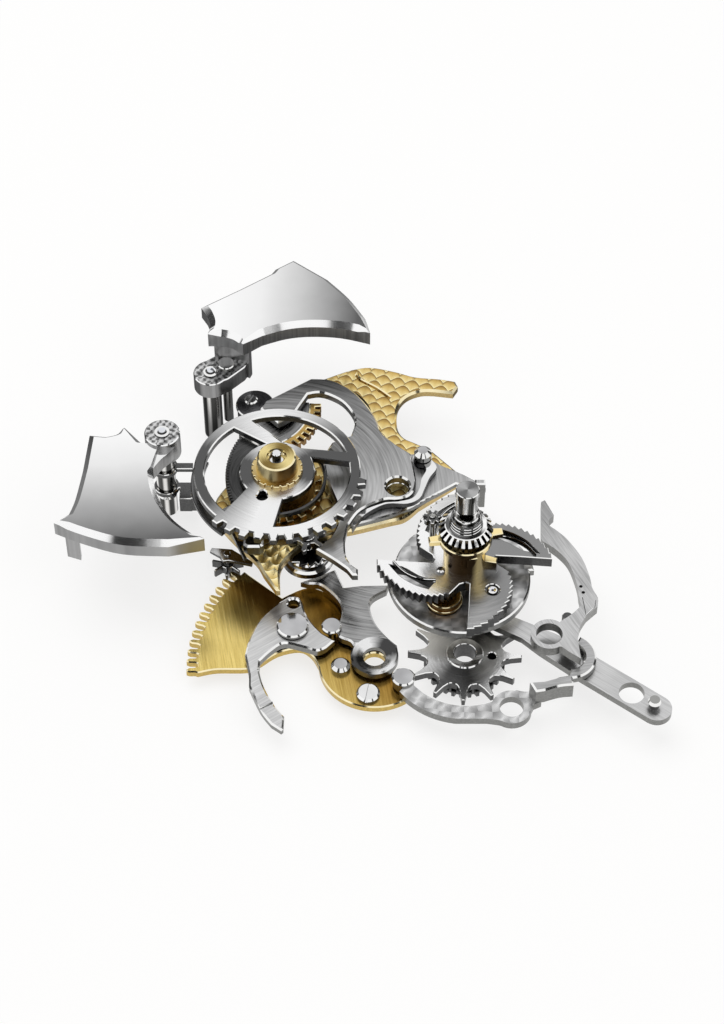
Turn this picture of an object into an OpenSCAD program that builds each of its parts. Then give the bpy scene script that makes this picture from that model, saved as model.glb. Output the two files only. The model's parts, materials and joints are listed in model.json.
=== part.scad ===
// Striking works of a wristwatch: two hammers, strike wheel, racks, snails, star wheel and levers.
// Millimetres. Z points up from the feet, and the centre column stands on the origin.

/* [General] */
// Sub-part to show, or all
// Gap between two parts that slide over each other
slide_gap = 0.05; // [0.04:0.01:0.06]
// Radial clearance of a pivot in its bore
pivot_clear = 0.03; // [0.02:0.01:0.04]
// Height of the lowest lever above the feet
floor_gap = 0.45; // [0.35:0.05:0.5]

/* [Frame plates] */
// Thickness of the gold bridge
gold_bridge_t = 0.35; // [0.3:0.05:0.4]
// Thickness of the grained steel plate on top of it
grained_plate_t = 0.25; // [0.2:0.05:0.3]
// Thickness of the brushed steel bridge
steel_bridge_t = 0.35; // [0.3:0.05:0.4]
// Radius of the bridge hole
bridge_hole_r = 0.48; // [0.4:0.02:0.5]
// Radius of the rear post
rear_post_r = 0.74; // [0.66:0.02:0.76]

/* [Hammers] */
// Thickness of a hammer head
hammer_t = 0.8; // [0.75:0.05:0.95]
// Radius of a hammer hub
hammer_hub_r = 0.72; // [0.66:0.02:0.76]
// Radius of a hammer post
hammer_post_r = 0.4; // [0.34:0.02:0.44]
// Height of the left hammer hub above the feet
left_hub_top = 4.75; // [4.7:0.05:4.9]
// Height of the rear hammer hub above the feet
rear_hub_top = 3.7; // [3.6:0.05:3.8]

/* [Strike wheel] */
// Radius of the strike wheel under its teeth
strike_wheel_r = 3.36; // [3.3:0.02:3.4]
// Inner radius of its rim
strike_rim_r = 2.93; // [2.86:0.01:2.98]
// Radius of its hub disc
strike_hub_r = 1.5; // [1.4:0.02:1.56]
// Thickness of the strike wheel
strike_wheel_t = 0.3; // [0.25:0.01:0.32]
// Height of the gold hub cap
hub_cap_h = 0.72; // [0.66:0.02:0.8]

/* [Strike rack] */
// Radius of the rack over its teeth
rack_tip_r = 7.4; // [7.35:0.01:7.42]
// Height of a rack tooth
rack_tooth_h = 0.44; // [0.4:0.02:0.46]
// Thickness of the rack
rack_t = 0.3; // [0.25:0.01:0.32]
// Thickness of the hook lever and the rack lever
lever_t = 0.35; // [0.3:0.01:0.38]

/* [Centre column] */
// Radius of the cannon
cannon_r = 0.46; // [0.4:0.02:0.48]
// Height of the cannon above the feet
cannon_top = 7.5; // [7:0.1:7.7]
// Radius of the minute snail at its four tips
snail_r = 3.46; // [3.4:0.02:3.5]
// Thickness of the minute snail
snail_t = 0.5; // [0.4:0.02:0.54]
// Radius of the quarter snail
quarter_r = 2.96; // [2.9:0.02:3]
// Thickness of the quarter snail
quarter_t = 0.35; // [0.3:0.01:0.36]

/* [Star wheel and levers] */
// Radius of the star wheel at its points
star_r = 2.24; // [2.2:0.01:2.28]
// Radius of the star wheel bore
star_bore_r = 0.44; // [0.4:0.01:0.46]
// Thickness of the star wheel
star_t = 0.35; // [0.3:0.01:0.36]
// Radius of the jumper ring bore
jumper_bore_r = 0.47; // [0.42:0.01:0.49]
// Radius of the ratchet lever bore
ratchet_bore_r = 0.52; // [0.46:0.01:0.54]
// Radius of the strap lever hole
strap_hole_r = 0.5; // [0.44:0.01:0.52]
// Half the width of the strap lever
strap_half_w = 0.6; // [0.57:0.01:0.62]

/* [Hidden] */
$fn = 48;
eps = 0.02;
wheel_at = [-7.45, 3.93];
rear_post_at = [-8.5, 8.66];
rack_at = [-3.55, -3.2];
hook_at = [-6.78, -1.88];
drum_at = [-6.22, 1.5];
star_at = [0, -3.1];
jumper_at = [1.74, -5.7];
ratchet_at = [3.25, -3.1];
strap_at = [6.37, -5.31];
left_hub_at = [-12.1, 5.37];
rear_hub_at = [-10.35, 9.66];
release_at = [-1.56, 5.45];
bridge_hole_at = [-2.6, 3.87];

// Heights, from the feet up
lower_wheel_z = floor_gap;
lower_wheel_t = 0.3;
rack_z = floor_gap + slide_gap;
lever_z = rack_z + rack_t + 3 * slide_gap;
star_z = lower_wheel_z + lower_wheel_t + 2 * slide_gap;
jumper_z = star_z + slide_gap;
jumper_t = 0.35;
strap_z = jumper_z + jumper_t + slide_gap;
strap_t = 0.32;
band_z = strap_z + strap_t + slide_gap;
band_t = 0.32;
ratchet_z = band_z + band_t + slide_gap;
ratchet_t = 0.44;
quarter_z = ratchet_z - 2 * slide_gap;
roller_z = quarter_z + quarter_t + slide_gap;
roller_t = 0.35;
snail_z = roller_z + roller_t + 2 * slide_gap;
sleeve_z = snail_z + snail_t;
sleeve_flange_t = 0.25;
sleeve_top = 4.8;
crown_top = 5.45;
gold_bridge_z = 2.25;
grained_plate_z = gold_bridge_z + gold_bridge_t;
steel_bridge_z = grained_plate_z + grained_plate_t;
train_wheel_z = grained_plate_z + 2 * slide_gap;
train_wheel_t = 0.3;
ring_sector_z = steel_bridge_z + steel_bridge_t + slide_gap;
ring_sector_t = 0.17;
fine_ratchet_z = ring_sector_z + ring_sector_t + slide_gap;
fine_ratchet_t = 0.23;
strike_wheel_z = fine_ratchet_z + fine_ratchet_t + 2 * slide_gap;
strike_wheel_top = strike_wheel_z + strike_wheel_t;
hour_rack_z = gold_bridge_z + slide_gap;
hour_rack_t = 0.4;
left_head_z = left_hub_top - 0.15 - hammer_t;
rear_head_z = rear_hub_top + 1.7 - hammer_t;

// Points along an arc
function arc(c, r, a, b, n = 12) = [for (i = [0:n]) c + r * [cos(a + (b - a) * i / n), sin(a + (b - a) * i / n)]];

// A point on a smooth curve between b and c
function blend(a, b, c, d, t) =
    0.5 * (2 * b + (c - a) * t + (2 * a - 5 * b + 4 * c - d) * t * t + (3 * b - a - 3 * c + d) * t * t * t);

// A smooth curve through a few points, ends included
function curve(p, n = 4) = concat(
    [for (i = [0:len(p) - 2], k = [0:n - 1])
        blend(p[max(i - 1, 0)], p[i], p[i + 1], p[min(i + 2, len(p) - 1)], k / n)],
    [p[len(p) - 1]]);

// Straight sided teeth round the origin, from angle a, count teeth of one pitch each
function teeth(count, pitch, root, tip, a = 0, root_part = 0.36, tip_part = 0.18) =
    [for (i = [0:count - 1], s = [[-root_part, root], [-tip_part, tip], [tip_part, tip], [root_part, root]])
        s[1] * [cos(a + (i + s[0]) * pitch), sin(a + (i + s[0]) * pitch)]];

// Saw teeth round the origin
function saw(count, pitch, root, tip, a = 0) =
    [for (i = [0:count - 1], s = [[0, root], [0.12, tip], [0.3, tip]])
        s[1] * [cos(a + (i + s[0]) * pitch), sin(a + (i + s[0]) * pitch)]];

module at(p, z = 0) {
    translate([p[0], p[1], z]) children();
}

module disc(r, z, t, p = [0, 0]) {
    at(p, z) cylinder(r = r, h = t);
}

module plate(points, z, t) {
    translate([0, 0, z]) linear_extrude(t) polygon(points);
}

// A round part with a bore
module ring(r, bore, z, t, p = [0, 0]) {
    difference() {
        disc(r, z, t, p);
        disc(bore, z - eps, t + 2 * eps, p);
    }
}

// A toothed wheel with a bore
module toothed(points, bore, z, t, p = [0, 0]) {
    at(p, z) difference() {
        linear_extrude(t) polygon(points);
        translate([0, 0, -eps]) cylinder(r = bore, h = t + 2 * eps);
    }
}

// A polished head on a pin, with a chamfered edge
module pin_head(p, r, z, t) {
    at(p, z) rotate_extrude() polygon([[0, 0], [r, 0], [r, 0.6 * t], [r - 0.4 * t, t], [0, t]]);
}

// A slotted screw head on a shank
module slotted_screw(p, r, z, t, shank_r, shank_h, turn) {
    difference() {
        union() {
            pin_head(p, r, z, t);
            disc(shank_r, z - shank_h, shank_h + eps, p);
        }
        at(p, z + 0.5 * t) rotate(turn) translate([-2 * r, -0.12 * r, 0]) cube([4 * r, 0.24 * r, t]);
    }
}

// Outline of the gold bridge: horn, right band, front edge, lower tip, left edge, inner edge
gold_bridge_outline = concat(
    curve([[-5.64, 10.36], [-4.5, 10.88], [-3.66, 11.03], [-2.6, 10.77], [-1.8, 10.48], [-0.75, 10.36], [-0.12, 10.22]]),
    [[0, 9.91], [-0.22, 9.51]],
    curve([[-1.01, 9.63], [-1.56, 9.62], [-2.15, 9.33], [-2.5, 8.82], [-2.6, 8.21], [-2.55, 7.48], [-2.3, 7.03],
        [-1.85, 6.76], [-1.24, 6.37], [-0.8, 5.9], [-0.1, 5.1], [0.1, 4.72]]),
    [[-0.2, 4.5]],
    curve([[-1.75, 3.28], [-2.3, 2.72], [-2.95, 2.5], [-4.4, 2.05], [-5.6, 1.75], [-6.5, 1.2], [-7.16, 0.4],
        [-7.3, -0.15]]),
    [[-7.26, -1.02], [-7.42, -1.02]],
    curve([[-7.94, -0.16], [-8.24, 0.44], [-9.05, 1.4], [-9.75, 2.4], [-10, 3.5], [-9.5, 4.5]]),
    curve([[-8.7, 5.5], [-7.4, 5.95], [-5.7, 5.95], [-4.3, 6.4], [-3.72, 7.4], [-3.78, 8.6], [-4.4, 9.5], [-5.5, 10.05]]));

module gold_bridge() {
    color("Gold") difference() {
        plate(gold_bridge_outline, gold_bridge_z, gold_bridge_t);
        disc(0.5, gold_bridge_z - eps, gold_bridge_t + 2 * eps, wheel_at);
        disc(drum_pivot_r + pivot_clear, gold_bridge_z - eps, gold_bridge_t + 2 * eps, drum_at);
        plate(concat(curve(groove_line), [for (k = [len(groove_line) - 1:-1:0]) groove_line[k] - [0.05, 0.09]]),
            gold_bridge_z + 0.7 * gold_bridge_t, gold_bridge_t);
    }
}

// The engraved line across the horn
groove_line = [[-4.25, 10.62], [-4.08, 10.3], [-3.43, 9.85], [-2.85, 9.3]];

// Grained plate under the steel bridge, seen in front of it and at the right, with a block at its end
grained_plate_outline = concat(
    [[-4.6, 2.2]],
    curve([[-4.4, 2.12], [-3, 2.58], [-2.2, 2.95], [-1.2, 3.62], [-0.22, 4.3]]),
    [[0.42, 4.0], [0.98, 4.02], [0.96, 4.3], [0.56, 4.48]],
    curve([[0.1, 4.8], [-0.35, 5.06], [-1.0, 5.45], [-1.5, 5.95]]),
    [[-2.3, 5.9], [-4.2, 4.8], [-4.9, 3.2]]);

module grained_plate() {
    color("Silver") difference() {
        union() {
            plate(grained_plate_outline, grained_plate_z, grained_plate_t);
            translate([0.54, 4.0, 1.7]) cube([0.42, 0.28, grained_plate_z + grained_plate_t + 0.3 - 1.7]);
        }
        disc(bridge_hole_r, grained_plate_z - eps, grained_plate_t + 2 * eps, bridge_hole_at);
    }
}

// Steel bridge: left foot, peak, right edge, hub round the hole, front edge, fishtail, inner edge
steel_bridge_outline = concat(
    [[-8.25, 8.1], [-8.05, 8.55], [-7.71, 8.75]],
    curve([[-6.17, 9.81], [-5.3, 9.72], [-4.5, 9.18], [-3.87, 8.36], [-3.44, 7.5], [-3.23, 6.8], [-2.65, 6.12]]),
    curve([[-2.06, 5.64], [-1.94, 4.95], [-1.86, 3.95], [-2.12, 3.38], [-2.6, 3.2], [-3.1, 3.18], [-3.68, 2.9],
        [-4.2, 2.5], [-4.6, 1.8]]),
    curve([[-4.72, 1.1], [-4.68, 0.3], [-4.48, -0.15], [-4.2, -0.42]]),
    [[-4.2, -0.72], [-4.42, -0.72]],
    curve([[-4.63, -0.4], [-5.2, 0.1], [-5.86, 0.6]]),
    curve([[-5.3, 1.2], [-5.0, 2], [-5.05, 2.9], [-5.3, 3.7], [-5.52, 4.5], [-5.56, 5.5], [-5.25, 6.25]]),
    curve([[-4.49, 6.61], [-4.33, 7.5], [-4.74, 8.36], [-5.3, 8.82], [-5.83, 9.01], [-6.3, 8.92]]),
    curve([[-6.62, 8.3], [-6.95, 7.7], [-7.5, 7.3]]));

module steel_bridge() {
    color("Silver") difference() {
        plate(steel_bridge_outline, steel_bridge_z, steel_bridge_t);
        disc(bridge_hole_r, steel_bridge_z - eps, steel_bridge_t + 2 * eps, bridge_hole_at);
    }
}

rear_neck_r = 0.3;

module rear_post() {
    color("DimGray") union() {
        disc(rear_post_r, 0, hour_rack_z - slide_gap, rear_post_at);
        disc(rear_neck_r, 0, steel_bridge_z - 2 * slide_gap, rear_post_at);
    }
}

module rear_post_cap() {
    color("DimGray") difference() {
        disc(rear_post_r + 0.06, hour_rack_z + hour_rack_t + slide_gap,
            steel_bridge_z - hour_rack_z - hour_rack_t - slide_gap, rear_post_at);
        disc(rear_neck_r, 0, steel_bridge_z - 2 * slide_gap, rear_post_at);
    }
}

module rear_post_screw() {
    color("LightGray") slotted_screw(rear_post_at + [-0.17, 0.17], 0.28, steel_bridge_z, 0.14, 0.1, eps, 60);
}

pillar_places = [[-3.0, 5.2], [-8.6, 2.95]];

module support_pillars() {
    color("Silver") for (p = pillar_places) disc(0.3, 0, gold_bridge_z, p);
}

// Steel block on the gold bridge with a blade spring at its left, under the strike wheel's teeth
module locking_pawl() {
    block = [[-8.76, 0.92], [-8.6, 0.78], [-8.1, 0.78], [-7.95, 0.9], [-7.98, 1.7], [-8.7, 1.8]];
    blade = [[-9.36, 1.98], [-9.26, 2.0], [-8.96, 1.3], [-8.7, 1.3], [-8.7, 1.08], [-8.88, 1.08], [-8.62, 0.46], [-8.72, 0.42]];
    color("Gray") {
        plate(block, gold_bridge_z + gold_bridge_t, 0.5);
        plate(blade, gold_bridge_z + gold_bridge_t, 0.2);
    }
}

module banking_stud() {
    color("DimGray") disc(0.22, 0, ratchet_z - slide_gap, [4.05, -1.85]);
}

// Head of the left hammer, with its peak beside the hub
left_head_outline = concat(
    [[-15.06, 5.52]],
    curve([[-14.4, 5.44], [-14.0, 5.56], [-13.66, 5.82]]),
    curve([[-13.0, 5.16], [-12.7, 4.94], [-12.25, 4.8]]),
    curve([[-12.42, 3.7], [-12.22, 2.5], [-11.7, 1.4], [-11.1, 0.7], [-10.2, 0.0]]),
    curve([[-11.6, -0.3], [-13.4, -0.2], [-14.9, 0.28], [-16.15, 0.85]]),
    curve([[-15.6, 1.35], [-15.4, 2.1], [-15.2, 3.6]]));

// Head of the rear hammer, with two scallops at its inner end
rear_head_outline = concat(
    [[-6.95, 14.75], [-7.7, 14.22], [-7.86, 13.95]],
    curve([[-9.2, 13.0], [-10.76, 11.95]]),
    curve([[-10.5, 11.5], [-10.34, 10.95], [-10.42, 10.3]]),
    curve([[-9.9, 10.3], [-9.4, 10.15], [-8.95, 9.76]]),
    curve([[-8.2, 10.32], [-7.2, 10.7], [-6.16, 10.84], [-4.9, 10.75], [-3.7, 10.4]]),
    curve([[-3.9, 11.3], [-4.6, 12.5], [-5.5, 13.6]]));

hub_drop = 0.8;
left_neck_outline = concat([[-12.8, 5.6], [-12.7, 4.6]], curve([[-12.4, 3.7], [-12.1, 4.2], [-11.75, 4.6], [-11.4, 5.2]]));

module left_hammer() {
    color("Silver") difference() {
        union() {
            plate(left_head_outline, left_head_z, hammer_t);
            disc(hammer_hub_r, left_hub_top - 1.15, 1.15, left_hub_at);
            plate(left_neck_outline, left_head_z, hammer_t - 0.15);
            plate([[-15.75, 0.95], [-15.75, 0.72], [-15.2, 0.52], [-15.2, 0.75]], left_head_z - 1.25, 1.3);
        }
        disc(0.2, left_hub_top - 1.2, 1.3, left_hub_at);
    }
}

module left_hammer_post() {
    color("Gainsboro") difference() {
        union() {
            disc(hammer_post_r, 0, left_hub_top - 1.15, left_hub_at);
            disc(0.2, 0, left_hub_top - 0.2, left_hub_at);
        }
        at(left_hub_at, 1.1) rotate_extrude() polygon([[hammer_post_r, -0.1], [hammer_post_r + 0.1, -0.1],
            [hammer_post_r + 0.1, 0.1], [hammer_post_r, 0.1], [hammer_post_r - 0.08, 0]]);
    }
}

// The jewelled pivot in the top of a hub
module hub_pivot(p, top) {
    at(p, top - 0.2) rotate_extrude() polygon([[0, 0], [0.2, 0], [0.2, 0.2], [0.3, 0.2], [0.3, 0.26], [0.22, 0.3],
        [0.14, 0.26], [0.14, 0.34], [0, 0.38]]);
}

module left_hammer_pivot() {
    color("White") hub_pivot(left_hub_at, left_hub_top);
}

// Lifting arms on the left post, the lower one with three teeth
module left_hammer_pallet() {
    lift = [1.14, 0.1];
    color("DimGray") difference() {
        union() {
            disc(hammer_post_r + 0.12, 2.5, 0.2, left_hub_at);
            at(left_hub_at, 2.5) translate([0, -0.16, 0]) cube([lift[0], 0.34, 0.2]);
            disc(hammer_post_r + 0.12, 1.3, 0.2, left_hub_at);
            at(left_hub_at, 1.3) translate([0, -0.14, 0]) cube([lift[0] + 0.1, 0.3, 0.2]);
            at(left_hub_at, 0.7) translate([0.55, -0.75, 0]) cube([0.5, 0.9, 0.8]);
            for (i = [0:2])
                at(left_hub_at, 0.7) translate([1.0, -0.72 + 0.3 * i, 0]) cube([0.28, 0.16, 0.8]);
        }
        disc(hammer_post_r, 0, 3, left_hub_at);
    }
}

module rear_hammer() {
    color("Silver") difference() {
        union() {
            plate(rear_head_outline, rear_head_z, hammer_t);
            disc(hammer_hub_r, rear_hub_top - hub_drop, hub_drop, rear_hub_at);
            plate(rear_arm_outline, rear_hub_top - hub_drop, hub_drop);
            plate(rear_web_outline, rear_hub_top - hub_drop, rear_head_z - rear_hub_top + hub_drop + 0.3);
        }
        disc(0.2, rear_hub_top - 1.2, 1.3, rear_hub_at);
        disc(0.2, rear_hub_top - 1.2, 1.3, rear_pin_at);
    }
}

rear_arm_outline = [[-10.9, 10.1], [-10.3, 10.55], [-9.5, 10.7], [-8.75, 10.35], [-8.95, 9.95], [-9.6, 9.3], [-10.0, 9.1]];
rear_web_outline = concat(curve([[-10.2, 10.72], [-9.6, 10.75], [-9.1, 10.6], [-8.65, 10.3]]), [[-8.75, 10.06]],
    curve([[-9.15, 10.3], [-9.6, 10.45], [-10.2, 10.45]]));

module rear_hammer_post() {
    color("Gainsboro") union() {
        disc(hammer_post_r, 0, rear_hub_top - hub_drop, rear_hub_at);
        disc(0.2, 0, rear_hub_top - 0.2, rear_hub_at);
    }
}

module rear_hammer_pivot() {
    color("White") hub_pivot(rear_hub_at, rear_hub_top);
}

rear_pin_at = [-9.72, 10.12];

module rear_hammer_pin() {
    color("Gainsboro") union() {
        pin_head(rear_pin_at, 0.36, rear_hub_top, 0.1);
        disc(0.2, 0.35, rear_hub_top - 0.35, rear_pin_at);
    }
}

// One window of the strike wheel, its sides leaning like a swirl
module wheel_window(inner_a, inner_b, outer_a, outer_b) {
    points = concat(arc([0, 0], strike_hub_r + 0.03, inner_a, inner_b, 8), arc([0, 0], strike_rim_r, outer_b, outer_a, 16));
    linear_extrude(strike_wheel_t + 2 * eps) polygon(points);
}

// Upper half of the drop shaped hole in the wheel's web
drop_points = [[-0.78, -1.36], [-0.68, -1.1], [-0.52, -1.04], [-0.42, -1.12], [-0.36, -1.36]];

strike_teeth = 13;
strike_pitch = 10.2;

module strike_wheel() {
    tooth_part = teeth(strike_teeth, strike_pitch, strike_wheel_r, strike_wheel_r + 0.27, -132, 0.34, 0.2);
    color("LightGray") at(wheel_at, strike_wheel_z) difference() {
        linear_extrude(strike_wheel_t)
            polygon(concat(tooth_part, arc([0, 0], strike_wheel_r, -4, 222, 60)));
        translate([0, 0, -eps]) {
            wheel_window(52, 84, 20, 112);
            wheel_window(-80, 26, -91, 8);
            wheel_window(108, 218, 128, 226);
            cylinder(r = 0.3, h = 1);
            translate([-0.57, -1.36, 0]) cylinder(r = 0.21, h = 1);
            linear_extrude(1) polygon(drop_points);
        }
    }
}

module strike_wheel_arbor() {
    color("Gray") at(wheel_at) {
        cylinder(r = 0.3, h = strike_wheel_top + hub_ring_t + hub_cap_h - 0.24);
        cylinder(r = 0.18, h = strike_wheel_top + hub_ring_t + hub_cap_h + 0.2);
    }
}

module hub_cap() {
    color("Gold") at(wheel_at, strike_wheel_top + hub_ring_t) rotate_extrude($fn = 96) polygon([[0.3, 0], [0.84, 0],
        [0.77, hub_cap_h - 0.05], [0.71, hub_cap_h], [0.4, hub_cap_h], [0.36, hub_cap_h - 0.08], [0.3, hub_cap_h - 0.08]]);
}

hub_ring_teeth = 20;
hub_ring_t = 0.14;

module hub_ring() {
    color("Gold") toothed(teeth(hub_ring_teeth, 360 / hub_ring_teeth, 0.96, 1.04, 0, 0.44, 0.36), 0.3, strike_wheel_top,
        hub_ring_t, wheel_at);
}

// Sector with a long shallow edge of fine teeth at the left and a thin rim on its plain side
module fine_ratchet() {
    color("DimGray") at(wheel_at, fine_ratchet_z) difference() {
        linear_extrude(fine_ratchet_t)
            polygon(concat([for (p = teeth(24, 2.1, 4.03, 4.15, 151.5)) p + [2.05, 0.17]],
                arc([0, 0], 1.98, 240, 390, 40), arc([0, 0], 1.86, 390, 262, 34),
                arc([0, 0], 1.1, 262, 450, 30)));
        translate([0, 0, -eps]) cylinder(r = 0.3, h = 1);
    }
}

// Gold wheel with castellated teeth under the strike wheel
module train_wheel() {
    color("Gold") toothed(teeth(20, 18, 1.55, 1.84, 0, 0.3, 0.24), 0.3, train_wheel_z, train_wheel_t, wheel_at);
}

// Steel ring sector at the left, on one arm from the arbor
module ring_sector() {
    color("Gray") at(wheel_at, ring_sector_z) difference() {
        linear_extrude(ring_sector_t)
            polygon(concat(arc([0, 0], 3.5, 160, 232, 24), arc([0, 0], 0.7, 240, 570, 30), arc([0, 0], 3.0, 214, 160, 20)));
        translate([0, 0, -eps]) cylinder(r = 0.3, h = 1);
    }
}

hour_rack_r = 2.3;

module hour_rack() {
    body = concat(arc([0, 0], hour_rack_r, -60, 6, 16), arc([0, 0], rear_post_r, 40, 250, 16));
    color("DimGray") toothed(body, rear_neck_r + pivot_clear, hour_rack_z, hour_rack_t, rear_post_at);
}

// Castellated gold teeth on the edge of the hour rack
module hour_rack_teeth() {
    edge = concat(teeth(9, 7, hour_rack_r + 0.2, hour_rack_r + 0.46, -54, 0.3, 0.24), arc([0, 0], hour_rack_r, 5, -58, 16));
    color("Gold") plate([for (p = edge) p + rear_post_at], hour_rack_z, hour_rack_t);
}

module locking_drum() {
    color("DimGray") at(drum_at, drum_z) rotate_extrude()
        polygon([[0.18, 0], [1.0, 0], [1.06, 0.06], [1.06, 0.3], [0.94, 0.36], [0.94, 0.62], [0.85, 0.7], [0.18, 0.7]]);
}

drum_z = 1.4;
drum_pivot_r = 0.1;

drum_star_z = gold_bridge_z + gold_bridge_t + slide_gap;
drum_star_leaves = 6;

// One leaf of the star on the drum arbor, at angle a
function drum_leaf(a) = [for (s = [[-30, 0.4], [-12, 0.46], [-8, 0.72], [0, 0.82], [8, 0.72], [12, 0.46]])
    s[1] * [cos(a + s[0]), sin(a + s[0])]];

// Arbor of the drum, with six leaves cut from it above the gold bridge
module drum_arbor() {
    color("Gray") {
        disc(0.18, drum_z - 0.02, gold_bridge_z - slide_gap - drum_z + 0.02, drum_at);
        disc(drum_pivot_r, gold_bridge_z - slide_gap - eps, drum_star_z + 0.4 - gold_bridge_z, drum_at);
        at(drum_at, drum_star_z) {
            linear_extrude(0.24) polygon([for (i = [0:drum_star_leaves - 1]) for (p = drum_leaf(60 * i + 20)) p]);
            cylinder(r = 0.3, h = 0.32);
        }
    }
}

module drum_ratchet() {
    color("DimGray") toothed(saw(16, 22.5, 0.85, 1.0), 0.18, drum_z + 0.7, 0.1, drum_at);
}

rack_pitch = 3.73;
rack_pitch_r = rack_tip_r - 0.18;
rack_first = 142;
rack_bore_r = 0.45;

// One rounded rack tooth, at angle a
function rack_tooth(a) = [for (s = [[-0.36, 0], [-0.25, 0.24], [-0.23, 0.74], [-0.11, 1], [0.11, 1], [0.23, 0.74],
    [0.25, 0.24], [0.36, 0]]) let (b = a + s[0] * rack_pitch) (rack_tip_r + (s[1] - 1) * rack_tooth_h) * [cos(b), sin(b)]];

// Gold rack: twelve teeth, a lower edge with a notch, a waist and a half moon round its pivot
strike_rack_outline = concat(
    [for (i = [0:11]) for (p = rack_tooth(rack_first + i * rack_pitch)) p],
    curve([[0.72 - rack_tip_r, -0.46], [1.25 - rack_tip_r, -0.36], [2.4 - rack_tip_r, -0.34], [2.85 - rack_tip_r, -0.12],
        [-3.8, 0.45], [-2.95, 0.66], [-2.48, 0.34], [-2.2, -0.2]]),
    arc([0, 0], 2.2, 186, 304, 24),
    [[0.9, -1.2]], arc([0, 0], 0.8, -30, 90, 8),
    curve([[-0.9, 2.6], [-1.6, 3.3], [-2.6, 3.75], [-3.5, 3.35]]),
    [4.9 * [cos(rack_first - 3), sin(rack_first - 3)], (rack_tip_r - rack_tooth_h) * [cos(rack_first - 3), sin(rack_first - 3)]]);

rack_screw_at = [-3.8, -4.79];
rack_screw_shank_r = 0.2;

module strike_rack() {
    color("Gold") difference() {
        toothed(strike_rack_outline, rack_bore_r, rack_z, rack_t, rack_at);
        disc(rack_screw_shank_r, rack_z - eps, rack_t + 2 * eps, rack_screw_at);
    }
}

module rack_screw() {
    color("LightGray") slotted_screw(rack_screw_at, 0.46, rack_z + rack_t, 0.2, rack_screw_shank_r, rack_t, 80);
}

rack_pin_places = [[-4.88, -3.5], [-5.24, -1.9]];

module rack_banking_pins() {
    color("White") {
        pin_head(rack_pin_places[0], 0.38, rack_z + rack_t, 0.3);
        disc(0.17, rack_z + rack_t, lever_z + lever_t + slide_gap - rack_z - rack_t + eps, rack_pin_places[1]);
        pin_head(rack_pin_places[1], 0.4, lever_z + lever_t + slide_gap, 0.14);
    }
}

hook_pin_r = 0.3;

module hook_lever_pin() {
    color("White") {
        disc(hook_pin_r, rack_z + rack_t, lever_z + lever_t + slide_gap - rack_z - rack_t + eps, hook_at);
        pin_head(hook_at, 0.64, lever_z + lever_t + slide_gap, 0.16);
    }
}

// Hook lever: nose with a small hole, finger to the right, long hook to the front
hook_lever_outline = concat(
    curve([[-6.95, -0.3], [-6.6, -0.32], [-6.42, -0.62], [-6.3, -1.1], [-5.95, -1.72], [-5.6, -2.15]]),
    [[-5.12, -2.5]],
    curve([[-5.45, -2.86], [-5.8, -3.02], [-6.3, -2.85], [-7.1, -2.65], [-7.6, -3.0], [-8.03, -3.49]]),
    curve([[-8.06, -3.97], [-7.89, -4.65], [-7.52, -5.46], [-7.04, -6.12]]),
    [[-7.06, -6.72], [-7.14, -6.8]],
    curve([[-7.53, -6.5], [-7.97, -5.84], [-8.43, -4.74]]),
    [[-8.44, -4.2]],
    curve([[-8.63, -3.24], [-8.49, -2.46], [-8.08, -1.44], [-7.39, -0.63]]));

module hook_lever() {
    color("Silver") difference() {
        plate(hook_lever_outline, lever_z, lever_t);
        disc(hook_pin_r + pivot_clear, lever_z - eps, lever_t + 2 * eps, hook_at);
        disc(0.22, lever_z - eps, lever_t + 2 * eps, [-6.77, -0.66]);
        plate([[-7.5, -5.5], [-6.8, -6.0], [-6.9, -6.95], [-7.3, -6.95], [-8.0, -5.82]], lever_z + lever_t - 0.06, 1);
    }
}

// Rack lever: axe shaped head, neck, and a countersunk hub
rack_hub_r = 0.94;
rack_lever_outline = concat(
    [[-6.5, 0.44]],
    curve([[-6.2, 0.34], [-5.75, 0.3], [-5.35, -0.03], [-5.0, -0.47], [-4.85, -0.9], [-4.86, -1.3]]),
    curve([[-5.02, -1.85], [-4.94, -2.31], [-4.51, -2.54], [-4.38, -2.76]]),
    arc(rack_at, rack_hub_r, 156, 372, 30),
    curve([[-2.67, -2.73], [-3.11, -2.26], [-3.53, -1.6], [-3.72, -0.84], [-3.6, -0.39], [-3.06, -0.02]]),
    [[-2.96, 0.29]],
    curve([[-4.08, 0.27], [-4.76, 0.17]]),
    [[-5.12, 1.1]]);

module rack_lever() {
    color("Silver") difference() {
        plate(rack_lever_outline, lever_z, lever_t);
        disc(rack_bore_r, lever_z - eps, lever_t + 2 * eps, rack_at);
        at(rack_at, lever_z + lever_t - 0.16) cylinder(r1 = rack_bore_r, r2 = rack_hub_r - 0.06, h = 0.17);
    }
}

pinion_leaves = 7;
pinion_pitch_r = rack_pitch_r * rack_pitch * pinion_leaves / 360;
pinion_angle = rack_first - rack_pitch / 2;
pinion_arbor_r = 0.14;
finger_z = rack_z + rack_t + slide_gap + 0.4;
pinion_at = rack_at + (rack_pitch_r + pinion_pitch_r) * [cos(pinion_angle), sin(pinion_angle)];

module rack_pinion() {
    leaf = teeth(pinion_leaves, 360 / pinion_leaves, pinion_pitch_r - 0.24, pinion_pitch_r + 0.12,
        pinion_angle + 180, 0.2, 0.07);
    color("Gray") toothed(leaf, pinion_arbor_r, rack_z - slide_gap, rack_t + 2 * slide_gap, pinion_at);
}

module rack_pinion_arbor() {
    color("Gray") disc(pinion_arbor_r, 0, finger_z + 0.22, pinion_at);
}

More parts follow.
